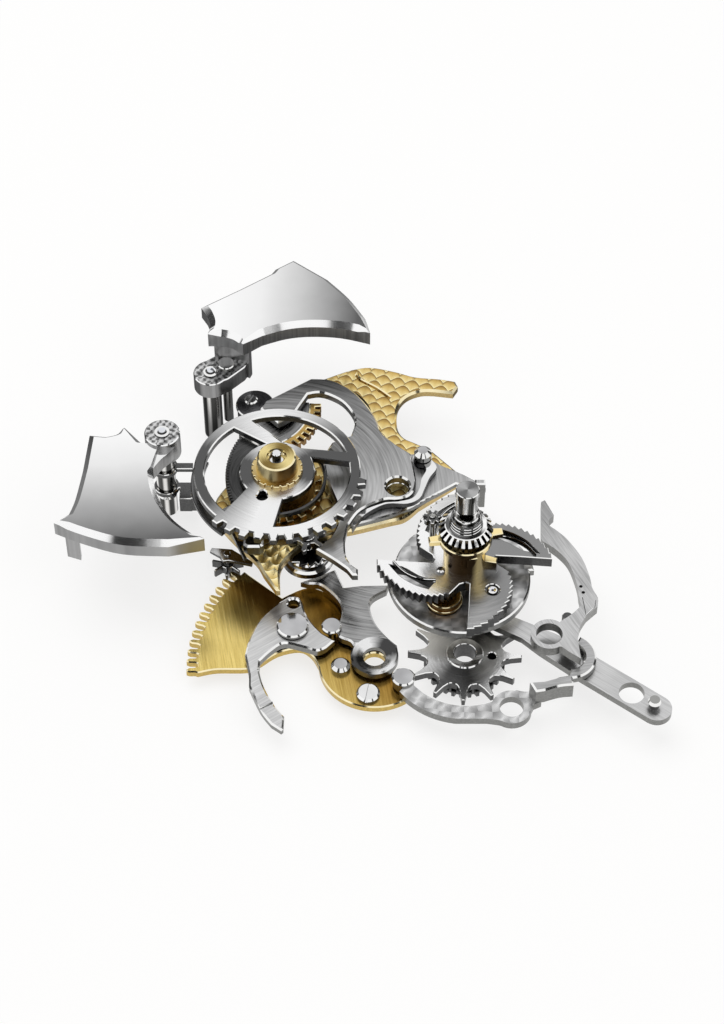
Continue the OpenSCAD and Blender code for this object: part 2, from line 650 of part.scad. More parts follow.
// Thin two armed finger on top of the rack pinion
module pinion_finger() {
    arms = [[0.2, 0.28], [-0.62, 0.36], [-0.7, 0.18], [-0.3, -0.1], [-0.14, -0.34], [0.06, -0.3], [1.02, -0.54], [1.06, -0.38]];
    color("DimGray") toothed(arms, pinion_arbor_r, finger_z, 0.14, pinion_at);
}

// Height of the smooth top of the cannon
cannon_cap_h = 0.36;
cannon_flat_h = 0.75;

// Cannon: wide foot inside the crown, flats with an oval hole, a thin groove and a smooth top
module cannon() {
    color("Silver") difference() {
        union() {
            cylinder(r = cannon_r, h = cannon_top - cannon_cap_h - cannon_flat_h);
            cylinder(r = cannon_r - 0.04, h = cannon_top - cannon_cap_h, $fn = 14);
            translate([0, 0, cannon_top - cannon_cap_h]) cylinder(r = cannon_r, h = cannon_cap_h);
            translate([0, 0, crown_top]) cylinder(r1 = cannon_r + 0.1, r2 = cannon_r + 0.04, h = 0.62);
        }
        translate([-0.02, 0, crown_top + 0.84]) rotate([90, 0, 0]) scale([0.28, 0.19, 1]) cylinder(r = 1, h = 1);
    }
}

ring_count = 4;
ring_step = 0.13;

module cannon_rings() {
    color("Silver") for (i = [0:ring_count - 1])
        ring(cannon_r + 0.2 - 0.02 * i, cannon_r + 0.1, crown_top + ring_step * i, ring_step - 0.05);
}

crown_teeth = 24;
crown_z = 4.55;
crown_r = 1.07;
crown_ring_r = 0.84;
crown_h = crown_top - crown_z;

// Outline of the slot between two crown teeth, from the axis outwards
crown_slot = [[crown_ring_r, crown_h], [crown_r + 0.1, crown_h], [crown_r + 0.1, -eps], [0.72, -eps], [0.76, 0.5 * crown_h]];

module crown_wheel() {
    color("LightGray") difference() {
        translate([0, 0, crown_z]) rotate_extrude($fn = 96) polygon([[cannon_r, 0], [0.8, 0], [0.93, 0.34],
            [crown_r, crown_h - 0.24], [crown_ring_r, crown_h - 0.03], [crown_ring_r - 0.04, crown_h], [cannon_r, crown_h]]);
        for (i = [0:crown_teeth - 1])
            rotate(360 / crown_teeth * i) translate([0, 0.065, crown_z]) rotate([90, 0, 0]) linear_extrude(0.13)
                polygon(crown_slot);
    }
}

sleeve_r = 0.84;
cup_r = 1.06;

// Gold sleeve: barrel with one short arm at its foot, cup with three arms and a pointed lobe at the front
module gold_sleeve() {
    lobe = [[-0.2, sleeve_top - 0.3], [0.2, sleeve_top - 0.3], [0.12, sleeve_top - 0.62], [0, sleeve_top - 0.86],
        [-0.08, sleeve_top - 0.6]];
    color("Gold") difference() {
        union() {
            translate([0, 0, sleeve_z]) cylinder(r = sleeve_r, h = sleeve_top - sleeve_z - 0.3, $fn = 96);
            translate([0, 0, sleeve_z]) linear_extrude(sleeve_flange_t) polygon(sleeve_arm(-12, sleeve_r - 0.1, 1.3, 0.13));
            translate([0, 0, sleeve_top - 0.5]) cylinder(r1 = sleeve_r, r2 = cup_r, h = 0.26, $fn = 96);
            translate([0, 0, sleeve_top - 0.24]) cylinder(r = cup_r, h = 0.24, $fn = 96);
            for (a = [8, 98, 190]) translate([0, 0, sleeve_top - 0.24]) linear_extrude(0.24)
                polygon(sleeve_arm(a, cup_r - 0.04, 1.46, 0.15));
            rotate(-76) rotate([90, 0, 90]) translate([0, 0, 0.7]) linear_extrude(cup_r - 0.72) polygon(lobe);
        }
        translate([0, 0, sleeve_z - eps]) cylinder(r = cannon_r, h = 3);
        translate([0, 0, crown_z - slide_gap]) cylinder(r1 = 0.86, r2 = 1.26, h = 1);
    }
}

// An arm at angle a from radius r out to the tip, half_w wide on each side and a little narrower outside
function sleeve_arm(a, r, tip, half_w) = [for (s = [[r, -1.3], [tip, -1], [tip, 1], [r, 1.3]])
    let (x = s[0], y = s[1] * half_w) [x * cos(a) - y * sin(a), x * sin(a) + y * cos(a)]];

snail_steps = 14;
snail_step = 5;
snail_fall = 1.72;

// One arm of the minute snail at angle a: the tip, fourteen steps, then the next arm's hollow
function snail_arm(a) = concat(
    [for (i = [0:snail_steps - 1], s = [0, 1])
        (snail_r - snail_fall * pow(i / snail_steps, 1.14)) * [cos(a + snail_step * (i + s)), sin(a + snail_step * (i + s))]],
    [for (s = [[80, 1.28], [91, 1.18], [98, 1.26], [93, 2.2]]) s[1] * [cos(a + s[0]), sin(a + s[0])]]);

// The slot between an arm's toothed edge and its straight edge
arm_slot = concat(curve([[2.95, 0.3], [2.5, 0.9], [1.95, 1.3], [1.45, 1.5]]), curve([[1.2, 1.15], [1.75, 0.85], [2.3, 0.45]]));
jewel_at = [1.06, -1.55];
jewel_sink = 0.12;

module minute_snail() {
    color("Silver") difference() {
        translate([0, 0, snail_z]) linear_extrude(snail_t)
            polygon([for (k = [0:3]) for (p = snail_arm(90 * k)) p]);
        translate([0, 0, snail_z - eps]) cylinder(r = cannon_r, h = 1);
        for (k = [0:2]) rotate(90 * k) plate(arm_slot, snail_z - eps, 1);
        disc(0.2, snail_z - eps, 1, jewel_at);
        disc(0.28, sleeve_z - jewel_sink, 1, jewel_at);
    }
}

// Thin blade springs lying on the snail arms
module snail_springs() {
    blade = concat(curve([[1.15, 1.06], [1.75, 1.02], [2.35, 0.68], [2.78, 0.16]]),
        curve([[2.84, 0.18], [2.4, 0.74], [1.78, 1.09], [1.15, 1.14]]));
    color("DimGray") for (k = [0:2]) rotate(90 * k) plate(blade, sleeve_z, 0.12);
}

module snail_screw() {
    color("White") slotted_screw([-0.95, -0.62], 0.17, sleeve_z, 0.16, 0.08, eps, 20);
}

module snail_jewel() {
    color("White") at(jewel_at, snail_z) rotate_extrude() polygon([[0.05, 0], [0.2, 0], [0.2, snail_t - jewel_sink],
        [0.18, snail_t - 0.02], [0.14, snail_t], [0.05, snail_t - 0.03]]);
}

// Quarter snail: four steps, each falling a little round its quarter
quarter_drop = [0.14, 0.04, -0.08, 0.18];
function quarter_edge(k) = [for (i = [0:15]) let (a = 90 * k + 5 + 6 * i)
    (quarter_r - quarter_drop[k] - 0.14 * i / 15) * [cos(a), sin(a)]];

module quarter_snail() {
    color("Gray") difference() {
        plate([for (k = [0:3]) for (p = quarter_edge(k)) p], quarter_z, quarter_t);
        disc(cannon_r, quarter_z - eps, 1);
        disc(roller_pin_r + pivot_clear, quarter_z - eps, 1, roller_at);
    }
}

roller_at = [-0.8, -1.34];
roller_pin_r = 0.14;

// Gold cup that rolls on the quarter snail
module gold_roller() {
    color("Gold") at(roller_at, roller_z) rotate_extrude() polygon([[0, slide_gap - quarter_t],
        [roller_pin_r, slide_gap - quarter_t], [roller_pin_r, 0], [0.72, 0], [0.72, 0.12],
        [0.66, 0.12], [0.66, roller_t], [0.58, roller_t], [0.5, 0.14], [0, 0.14]]);
}

setting_at = [-1.28, 0.66];
setting_z = sleeve_top + slide_gap;

module setting_pinion() {
    color("DimGray") toothed(teeth(7, 360 / 7, 0.23, 0.36, 10, 0.34, 0.2), 0.1 + pivot_clear, setting_z, 0.25, setting_at);
}

module setting_stud() {
    color("Gray") disc(0.1, sleeve_z, setting_z + 0.3 - sleeve_z, setting_at);
}

star_points = 12;
star_gap_r = 1.52;

// Star wheel: twelve points with round gaps between them
function star_gap(a) = concat(
    [star_r * [cos(a - 1.6), sin(a - 1.6)], star_r * [cos(a + 1.6), sin(a + 1.6)]],
    [for (i = [0:8]) let (u = (i - 4) / 4, b = a + 15 + (9.6 + 1.2 * pow(u, 4)) * u)
        (star_gap_r + 0.3 * pow(u, 4)) * [cos(b), sin(b)]]);

module star_wheel() {
    color("LightGray") difference() {
        at(star_at, star_z) linear_extrude(star_t) polygon([for (k = [0:star_points - 1]) for (p = star_gap(27 + 30 * k)) p]);
        disc(0.6, star_z - eps, 1, star_at);
        disc(0.17, star_z - eps, 1, star_at + [1.06, -0.1]);
    }
}

module star_hub() {
    color("White") at(star_at, lower_wheel_z) rotate_extrude() polygon([[star_bore_r, 0], [0.6, 0],
        [0.6, star_z + star_t - lower_wheel_z], [0.74, star_z + star_t - lower_wheel_z],
        [0.7, star_z + star_t - lower_wheel_z + 0.06], [star_bore_r, star_z + star_t - lower_wheel_z + 0.06]]);
}

module lower_wheel() {
    color("DimGray") toothed(teeth(30, 12, 1.46, 1.6), 0.6, lower_wheel_z, lower_wheel_t, star_at);
}

jumper_ring_r = 0.78;

// Jumper lever: curved grained band round the star, ring, block, and a band that rises over the strap
module jumper_lever() {
    band = concat(arc(star_at, 2.56, 211, 302, 20), curve([[1.95, -4.9], [2.3, -4.98], [2.75, -4.95]]),
        [[2.9, -5.45]], curve([[2.6, -5.6], [2.4, -6.0], [2.1, -6.35], [1.72, -6.48], [1.26, -6.34], [0.77, -6.26]]),
        arc(star_at, 3.19, 262, 216, 10));
    block = concat([[2.44, -5.03], [2.66, -5.5]], curve([[3.0, -5.44], [3.6, -5.24], [4.12, -5.18]]),
        [[4.1, -4.68]], curve([[3.6, -4.78], [3.0, -4.98]]));
    rise_c = [4.0, -3.78];
    rise = concat(arc(rise_c, 1.08, -84, 62, 20), arc(rise_c, 0.62, 62, -84, 16), [[3.9, -4.78], [4.0, -5.18]]);
    color("Silver") difference() {
        union() {
            plate(band, jumper_z, jumper_t);
            disc(jumper_ring_r, jumper_z, jumper_t, jumper_at);
            disc(0.42, jumper_z, jumper_t, jumper_end);
            plate(block, jumper_z + 0.3, band_z + band_t - jumper_z - 0.3);
            plate(rise, band_z, band_t);
        }
        disc(jumper_bore_r, jumper_z - eps, 2, jumper_at);
    }
}

jumper_end = [-2.43, -4.35];

module jumper_pin() {
    color("White") pin_head(jumper_end, 0.45, jumper_z + jumper_t, 0.16);
}

ratchet_ring_r = 0.72;

// Ratchet lever: ring, pointed tail, waist, curved arm and hooked tip
ratchet_lever_outline = concat(
    curve([[3.7, -2.5], [4.2, -2.1], [4.56, -1.7]]),
    curve([[4.5, -1.23], [4.45, -0.61], [4.19, 0.43], [3.74, 1.1], [3.2, 1.56]]),
    [[3.14, 1.7], [3.22, 3.61], [3.38, 3.72], [3.71, 2.92]],
    curve([[3.52, 2.7], [3.5, 2.4], [3.8, 2.1], [4.21, 1.62], [4.72, 0.69], [4.98, -0.28], [5.05, -0.83], [5.24, -1.33],
        [5.2, -1.75]]),
    curve([[4.75, -2.2], [4.45, -2.75], [4.34, -3.4]]),
    [[4.42, -4.3], [3.95, -3.95]],
    curve([[3.7, -3.72], [3.4, -3.7], [3.0, -3.6]]));

module ratchet_lever() {
    color("Silver") difference() {
        union() {
            plate(ratchet_lever_outline, ratchet_z, ratchet_t);
            disc(ratchet_ring_r, ratchet_z, ratchet_t, ratchet_at);
            plate([[4.62, -1.3], [5.16, -1.45], [5.1, -1.8], [4.72, -2.2]], ratchet_z + ratchet_t - eps, eps + 0.04);
        }
        disc(ratchet_bore_r, ratchet_z - eps, 1, ratchet_at);
        disc(0.07, ratchet_z + 0.2, 1, [4.6, -0.75]);
        disc(0.07, ratchet_z + 0.2, 1, [4.68, -1.05]);
    }
}

strap_turn = -37.5;
strap_length = 1.15;
strap_run = 2.15;

// Strap lever: round end with a pin, hole, straight run, and a narrower tail under the quarter snail
module strap_lever() {
    tail = [[0.62, -1.05], [1.75, -1.5], [2.7, -1.98], [3.9, -2.62], [5.1, -3.58], [4.34, -4.5], [2.9, -3.3],
        [2.24, -2.66], [1.05, -1.98], [0.42, -1.5]];
    color("Silver") difference() {
        union() {
            plate(tail, strap_z, strap_t);
            at(strap_at, strap_z) rotate(strap_turn) {
                translate([-strap_run, -strap_half_w, 0]) cube([strap_run + strap_length, 2 * strap_half_w, strap_t]);
                translate([strap_length, 0, 0]) cylinder(r = strap_half_w, h = strap_t);
            }
        }
        disc(strap_hole_r, strap_z - eps, 1, strap_at);
    }
}

module strap_pin() {
    color("Gray") at(strap_at, strap_z) rotate(strap_turn) translate([strap_length - 0.12, 0, strap_t]) {
        cylinder(r = 0.2, h = 0.34);
        translate([0, 0, 0.3]) cylinder(r1 = 0.26, r2 = 0.2, h = 0.14);
    }
}

release_z = steel_bridge_z + slide_gap;
release_t = 0.24;

// Release lever: eye at the pin, bent arm, then a band that follows the bridge edge
module release_lever() {
    arm = concat(
        curve([[-1.24, 5.35], [-1.0, 4.9], [-1.3, 4.35], [-1.52, 3.75], [-1.72, 3.26], [-2.2, 2.98], [-3.0, 2.98],
            [-3.62, 2.66], [-4.1, 2.2], [-4.42, 1.6]]),
        [[-4.48, 1.9]],
        curve([[-4.3, 2.3], [-3.85, 2.7], [-3.1, 3.04]]),
        curve([[-2.6, 3.08], [-2.02, 3.26], [-1.74, 3.7], [-1.62, 4.3], [-1.42, 4.8], [-1.6, 5.2]]));
    color("White") difference() {
        union() {
            plate(arm, release_z, release_t);
            disc(0.38, release_z, release_t, release_at);
        }
        disc(0.2 + pivot_clear, release_z - eps, 1, release_at);
    }
}

module release_pin() {
    color("White") union() {
        disc(0.2, grained_plate_z + grained_plate_t, 0.5, release_at);
        pin_head(release_at, 0.36, release_z + release_t + slide_gap, 0.4);
    }
}

gold_bridge();
grained_plate();
steel_bridge();
rear_post();
rear_post_cap();
rear_post_screw();
support_pillars();
locking_pawl();
banking_stud();
left_hammer();
left_hammer_post();
left_hammer_pivot();
left_hammer_pallet();
rear_hammer();
rear_hammer_post();
rear_hammer_pivot();
rear_hammer_pin();
strike_wheel();
strike_wheel_arbor();
hub_cap();
hub_ring();
fine_ratchet();
train_wheel();
ring_sector();
hour_rack();
hour_rack_teeth();
locking_drum();
drum_arbor();
drum_ratchet();
strike_rack();
rack_screw();
rack_banking_pins();
hook_lever_pin();
hook_lever();
rack_lever();
rack_pinion();
rack_pinion_arbor();
pinion_finger();
cannon();
cannon_rings();
crown_wheel();
gold_sleeve();
minute_snail();
snail_springs();
snail_screw();
snail_jewel();
quarter_snail();
gold_roller();
setting_pinion();
setting_stud();
star_wheel();
star_hub();
lower_wheel();
jumper_lever();
jumper_pin();
ratchet_lever();
strap_lever();
strap_pin();
release_lever();
release_pin();
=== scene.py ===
import collections
import functools
import json
import math

import bpy
import mathutils.geometry
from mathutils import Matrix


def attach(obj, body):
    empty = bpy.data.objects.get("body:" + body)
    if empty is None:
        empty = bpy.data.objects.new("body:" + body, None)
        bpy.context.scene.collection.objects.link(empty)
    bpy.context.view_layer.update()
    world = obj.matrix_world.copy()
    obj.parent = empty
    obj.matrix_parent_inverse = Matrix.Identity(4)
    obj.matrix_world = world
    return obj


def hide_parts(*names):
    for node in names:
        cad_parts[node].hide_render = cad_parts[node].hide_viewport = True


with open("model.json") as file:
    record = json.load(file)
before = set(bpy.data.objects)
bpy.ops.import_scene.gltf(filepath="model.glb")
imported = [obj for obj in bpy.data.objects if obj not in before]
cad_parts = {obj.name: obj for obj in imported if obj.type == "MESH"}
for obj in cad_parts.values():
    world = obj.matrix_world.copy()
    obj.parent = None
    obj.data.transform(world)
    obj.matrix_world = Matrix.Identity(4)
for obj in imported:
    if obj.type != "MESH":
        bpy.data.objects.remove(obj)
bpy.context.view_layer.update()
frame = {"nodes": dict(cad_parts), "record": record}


# Gold bridge. A gold plate that carries the striking works, engraved with rows of scales, with one line cut
# across its horn and facets on its front tip. The polished chamfer round it is cut at the bench, as on
# every other piece.
behaviour = frame["record"]["behaviour"]
body_of = {node: body for body, nodes in behaviour["bodies"].items() for node in nodes}
mm = 0.001
mm_per_metre = 1000
# The smallest length that counts, in millimetres
hair = 1e-4

# The finishes of one piece, in the order of its material slots
TOP, EDGE, FLANK, SECOND_TOP, UNDER = range(5)

Blank = collections.namedtuple("Blank", "points triangles normals on_edge")


def sides_of(triangle):
    """The three sides of a triangle, each from corner to corner in order."""
    a, b, c = triangle
    return (a, b), (b, c), (c, a)


def take_blank(source):
    """The mesh of a CAD part, ready for the bench: its corners in millimetres with those at one place made
    one, its triangles, the way each of them faces, and the triangles that meet on each edge."""
    seat, points, weld = {}, [], []
    for corner in source.vertices:
        place = tuple(round(c * mm_per_metre, 4) for c in corner.co)
        if place not in seat:
            seat[place] = len(points)
            points.append(list(place))
        weld.append(seat[place])
    source.calc_loop_triangles()
    triangles = [tuple(weld[v] for v in t.vertices) for t in source.loop_triangles]
    triangles = [t for t in triangles if len(set(t)) == 3]
    normals, on_edge = [], {}
    for f, (a, b, c) in enumerate(triangles):
        u = [points[b][k] - points[a][k] for k in range(3)]
        w = [points[c][k] - points[a][k] for k in range(3)]
        n = [u[1] * w[2] - u[2] * w[1], u[2] * w[0] - u[0] * w[2], u[0] * w[1] - u[1] * w[0]]
        length = math.sqrt(sum(k * k for k in n)) or 1e-12
        normals.append([k / length for k in n])
        for side in sides_of((a, b, c)):
            on_edge.setdefault(frozenset(side), []).append(f)
    return Blank(points, triangles, normals, on_edge)


def flat_region(blank, seed, ups, done):
    """The triangles of one flat face that looks up, found outwards from a seed."""
    region, queue = [], [seed]
    done.add(seed)
    while queue:
        f = queue.pop()
        region.append(f)
        for side in sides_of(blank.triangles[f]):
            for g in blank.on_edge[frozenset(side)]:
                if g in ups and g not in done:
                    done.add(g)
                    queue.append(g)
    return region


def rim_walks(blank, region):
    """The edges round a flat face, in order, with the face on their left: a list of closed walks of corner
    numbers, or None where the rim branches."""
    inside = set(region)
    ahead = {}
    for f in region:
        for p, q in sides_of(blank.triangles[f]):
            if not any(g in inside and g != f for g in blank.on_edge[frozenset((p, q))]):
                if p in ahead:
                    return None
                ahead[p] = q
    walks = []
    while ahead:
        start, here = next(iter(ahead.items()))
        walk = [start]
        del ahead[start]
        while here != start:
            walk.append(here)
            here = ahead.pop(here, None)
            if here is None:
                return None
        walks.append(walk)
    return walks


def room_under(blank, inside, p, q):
    """How far a chamfer may be cut along the edge from p to q: a share of the upright wall that falls away
    there."""
    upright, wall_share, shallowest = 0.35, 0.45, 1e-3
    room = 0.0
    for g in blank.on_edge[frozenset((p, q))]:
        if g not in inside and abs(blank.normals[g][2]) < upright:
            height = blank.points[p][2]
            third = [v for v in blank.triangles[g] if v not in (p, q)][0]
            fall = height - blank.points[third][2]
            wall = height - min(blank.points[v][2] for v in blank.triangles[g])
            room = wall_share * wall if fall > -hair and wall > shallowest else 0.0
    return room


def chamfer_reach(walk, points, width, rooms):
    """Which way in lies at each corner of a walk, and how far in the chamfer reaches there. The reach
    shrinks where the inner line would fold over itself, and it changes slowly from corner to corner."""
    folded_back, shortest_share, shrink, tries, steepest = 0.12, 0.12, 0.8, 60, 0.7
    n = len(walk)
    along, size = [], []
    for i in range(n):
        (x0, y0), (x1, y1) = points[walk[i]][:2], points[walk[(i + 1) % n]][:2]
        length = math.hypot(x1 - x0, y1 - y0) or 1e-9
        along.append(((x1 - x0) / length, (y1 - y0) / length))
        size.append(length)
    inward, reach = [], []
    for i in range(n):
        (ax, ay), (bx, by) = along[i - 1], along[i]
        share = 1 + ax * bx + ay * by
        if share < folded_back:
            inward.append((0.0, 0.0))
            reach.append(0.0)
            continue
        inward.append(((-ay - by) / share, (ax + bx) / share))
        reach.append(min(width, rooms[i - 1], rooms[i]))
    for _ in range(tries):
        crossed = False
        for i in range(n):
            j = (i + 1) % n
            dx = (inward[j][0] * reach[j] - inward[i][0] * reach[i]) * along[i][0]
            dy = (inward[j][1] * reach[j] - inward[i][1] * reach[i]) * along[i][1]
            if size[i] + dx + dy < shortest_share * size[i] and reach[i] + reach[j] > 1e-5:
                reach[i] *= shrink
                reach[j] *= shrink
                crossed = True
        if not crossed:
            break
    for _ in range(2):
        for i in list(range(n)) + list(range(n - 1, -1, -1)):
            j = (i + 1) % n
            reach[j] = min(reach[j], reach[i] + steepest * size[i])
            reach[i] = min(reach[i], reach[j] + steepest * size[i])
    return inward, reach


def fill_rings(rings, points):
    """Triangles that fill the flat top inside the chamfer, or None where its rings cross and the areas
    disagree."""
    area_error, least_area = 0.004, 1e-4
    flats = [[mathutils.Vector(points[v]) for v in ring] for ring in rings]
    order = [v for ring in rings for v in ring]
    fill, area, wanted = [], 0.0, 0.0
    for a, b, c in mathutils.geometry.tessellate_polygon(flats):
        p, q, r = (points[order[k]] for k in (a, b, c))
        turn = (q[0] - p[0]) * (r[1] - p[1]) - (q[1] - p[1]) * (r[0] - p[0])
        area += abs(turn) / 2
        fill.append((order[a], order[b], order[c]) if turn > 0 else (order[a], order[c], order[b]))
    for ring in rings:
        for i, v in enumerate(ring):
            p, q = points[v], points[ring[(i + 1) % len(ring)]]
            wanted += (p[0] * q[1] - q[0] * p[1]) / 2
    return None if abs(area - wanted) > area_error * wanted + least_area else fill


def cut_chamfer(blank, region, width, points):
    """Cuts a chamfer round one flat face and moves the points for it: (faces of the top, faces of the
    chamfer). A face whose rim can't take a chamfer stays as it is."""
    untouched = [blank.triangles[f] for f in region], []
    walks = rim_walks(blank, region)
    if not walks:
        return untouched
    inside, bevel, rings, lowered = set(region), [], [], {}
    for walk in walks:
        ahead = walk[1:] + walk[:1]
        rooms = [room_under(blank, inside, p, q) for p, q in zip(walk, ahead)]
        inward, reach = chamfer_reach(walk, blank.points, width, rooms)
        ring = []
        for v, way, far in zip(walk, inward, reach):
            if far < hair:
                ring.append(v)
                continue
            ring.append(len(points))
            x, y, z = blank.points[v]
            points.append([x + way[0] * far, y + way[1] * far, z])
            lowered[v] = far
        rings.append(ring)
        for v, w, inner_w, inner_v in zip(walk, ahead, ring[1:] + ring[:1], ring):
            quad = list(dict.fromkeys((v, w, inner_w, inner_v)))
            if len(quad) > 2:
                bevel.append(quad)
    top = fill_rings(rings, points)
    if top is None:
        return untouched
    for v, fall in lowered.items():
        points[v][2] = blank.points[v][2] - fall
    return top, bevel


def finish_for(rise):
    """Which finish a face gets, from how far its normal rises."""
    nearly_flat, leaning = 0.9, 0.25
    if rise > nearly_flat:
        return TOP
    if rise > leaning:
        return EDGE
    return UNDER if rise < -nearly_flat else FLANK


def face_off(node, top, edge, flank, chamfer, second=None, under=None):
    """Takes a CAD part to the bench: a polished chamfer is cut round each face that looks up, and the top,
    the chamfer and the flanks each get their own finish. second is (finish, test of x, y, z) for other
    tops, and under is for faces that look down. Sizes are millimetres, and chamfer may be a function of the
    face's height. The new part rides where the old one did."""
    looks_up, sharp_edge = 0.9995, 28
    blank = take_blank(frame["nodes"][node].data)
    ups = {f for f, n in enumerate(blank.normals) if n[2] > looks_up}
    points = [list(p) for p in blank.points]
    faces, kinds, done = [], [], set()
    for seed in sorted(ups):
        if seed in done:
            continue
        region = flat_region(blank, seed, ups, done)
        height = blank.points[blank.triangles[seed][0]][2]
        width = chamfer(height) if callable(chamfer) else chamfer
        flat, bevel = cut_chamfer(blank, region, width, points)
        faces += flat + bevel
        kinds += [TOP] * len(flat) + [EDGE] * len(bevel)
    for f, triangle in enumerate(blank.triangles):
        if f not in ups:
            faces.append(triangle)
            kinds.append(finish_for(blank.normals[f][2]))
    for f, kind in enumerate(kinds):
        if kind == TOP and second:
            corners = [points[v] for v in faces[f]]
            middle = [sum(c[k] for c in corners) / len(corners) for k in range(3)]
            if second[1](*middle):
                kinds[f] = SECOND_TOP
    mesh = bpy.data.meshes.new("finished_" + node)
    mesh.from_pydata([[c * mm for c in p] for p in points], [], faces)
    for finish in (top, edge, flank, second[0] if second else top, under or flank):
        mesh.materials.append(finish)
    mesh.polygons.foreach_set("material_index", kinds)
    mesh.polygons.foreach_set("use_smooth", [True] * len(faces))
    mesh.validate()
    mesh.update()
    mesh.set_sharp_from_angle(angle=math.radians(sharp_edge))
    part = bpy.data.objects.new("finished_" + node, mesh)
    bpy.context.scene.collection.objects.link(part)
    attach(part, body_of[node])
    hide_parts(node)
    return part


def bench_sheet(name, inputs, outputs):
    """Starts a node group. Its inputs are given as {label: value}, and its outputs are values that change
    over the surface: (group, its nodes, its links, the sockets it is given, the sockets it gives)."""
    group = bpy.data.node_groups.new(name, "ShaderNodeTree")
    for label, value in inputs.items():
        kind = "NodeSocketVector" if isinstance(value, tuple) else "NodeSocketFloat"
        group.interface.new_socket(name=label, in_out="INPUT", socket_type=kind).default_value = value
    for label in outputs:
        group.interface.new_socket(name=label, in_out="OUTPUT", socket_type="NodeSocketFloat")
    first, last = group.nodes.new("NodeGroupInput"), group.nodes.new("NodeGroupOutput")
    return group, group.nodes, group.links, first.outputs, last.inputs


def feed(links, socket, value):
    """Gives a socket its value: another socket is linked to it, and a number or a tuple is set on it."""
    if isinstance(value, bpy.types.NodeSocket):
        links.new(value, socket)
    else:
        socket.default_value = value


def sum_of(nodes, links, operation, *values):
    """One maths node, whose values are numbers or sockets."""
    node = nodes.new("ShaderNodeMath")
    node.operation = operation
    for socket, value in zip(node.inputs, values):
        feed(links, socket, value)
    return node.outputs[0]


def vector_sum(nodes, links, operation, a, b):
    """One vector maths node, whose values are numbers, tuples or sockets."""
    node = nodes.new("ShaderNodeVectorMath")
    node.operation = operation
    feed(links, node.inputs[0], a)
    feed(links, node.inputs["Scale"] if operation == "SCALE" else node.inputs[1], b)
    return node.outputs["Value" if operation == "DOT_PRODUCT" else "Vector"]


def mixed(nodes, links, share, a, b):
    """A value that goes from a to b as share, a number or a socket, goes from 0 to 1."""
    rest = 1 - share if isinstance(share, (int, float)) else sum_of(nodes, links, "SUBTRACT", 1.0, share)
    first, second = sum_of(nodes, links, "MULTIPLY", a, rest), sum_of(nodes, links, "MULTIPLY", b, share)
    return sum_of(nodes, links, "ADD", first, second)


def place_in_mm(nodes, links):
    """Where a point lies on the part, in millimetres of the shared frame."""
    where = nodes.new("ShaderNodeTexCoord")
    return vector_sum(nodes, links, "SCALE", where.outputs["Object"], mm_per_metre)


def turned_flat(nodes, links, spot, angle):
    """A place turned about the upright axis by an angle in radians."""
    turn = nodes.new("ShaderNodeVectorRotate")
    turn.rotation_type = "Z_AXIS"
    links.new(spot, turn.inputs["Vector"])
    links.new(angle, turn.inputs["Angle"])
    return turn.outputs[0]


def x_and_y(nodes, links, spot):
    """The first two figures of a place."""
    split = nodes.new("ShaderNodeSeparateXYZ")
    links.new(spot, split.inputs[0])
    return split.outputs["X"], split.outputs["Y"]


def soft_noise(nodes, links, spot, scale, detail=2.0, roughness=0.5):
    """Soft random tone over a place. scale is a number or a socket."""
    noise = nodes.new("ShaderNodeTexNoise")
    noise.inputs["Detail"].default_value = detail
    noise.inputs["Roughness"].default_value = roughness
    links.new(spot, noise.inputs["Vector"])
    feed(links, noise.inputs["Scale"], scale)
    return noise.outputs["Fac"]


def cut_scales():
    """Rows of engraved scales: Shade goes from each scale's root to its free edge and is used as painted
    light and shade across the scale, Height is how far it stands up, and Scratch is the fine marks of the
    graver. Sizes are millimetres and Lean is in radians."""
    arch_height, scratches_per_mm, scratch_depth = 0.62, 24, 0.08
    group, nodes, links, given, gives = bench_sheet(
        "engraved_scales", {"Width": 0.6, "Row": 0.42, "Lean": 0.3}, ["Shade", "Height", "Scratch"])
    maths = functools.partial(sum_of, nodes, links)

    def share_between(value, low, high):
        return maths("DIVIDE", maths("SUBTRACT", value, low), maths("SUBTRACT", high, low))
    spot = place_in_mm(nodes, links)
    x, y = x_and_y(nodes, links, turned_flat(nodes, links, spot, given["Lean"]))
    rows = maths("DIVIDE", y, given["Row"])
    half_step = maths("MULTIPLY", maths("PINGPONG", maths("FLOOR", rows), 1.0), 0.5)
    angle = maths("MULTIPLY", maths("ADD", maths("DIVIDE", x, given["Width"]), half_step), math.pi)
    arch = maths("MULTIPLY", maths("ABSOLUTE", maths("SINE", angle)), arch_height)
    next_arch = maths("MULTIPLY", maths("ABSOLUTE", maths("COSINE", angle)), arch_height)
    in_row = maths("FRACT", rows)
    under_arch = maths("LESS_THAN", in_row, arch)
    above = share_between(in_row, arch, maths("ADD", next_arch, 1.0))
    below = share_between(maths("ADD", in_row, 1.0), next_arch, maths("ADD", arch, 1.0))
    shade = mixed(nodes, links, under_arch, above, below)
    scratch = soft_noise(nodes, links, spot, scratches_per_mm, detail=3)
    links.new(shade, gives["Shade"])
    links.new(scratch, gives["Scratch"])
    links.new(maths("MULTIPLY_ADD", scratch, scratch_depth, maths("SUBTRACT", 1.0, shade)), gives["Height"])
    return group


def cut_fine_marks():
    """Faint random polishing marks and clouds: a value for tone and one for height."""
    clouds_per_mm = 1.1
    group, nodes, links, given, gives = bench_sheet(
        "polishing_marks", {"Marks per mm": 9.0}, ["Cloud", "Height"])
    spot = place_in_mm(nodes, links)
    links.new(soft_noise(nodes, links, spot, clouds_per_mm), gives["Cloud"])
    marks = soft_noise(nodes, links, spot, given["Marks per mm"], detail=4, roughness=0.7)
    links.new(marks, gives["Height"])
    return group


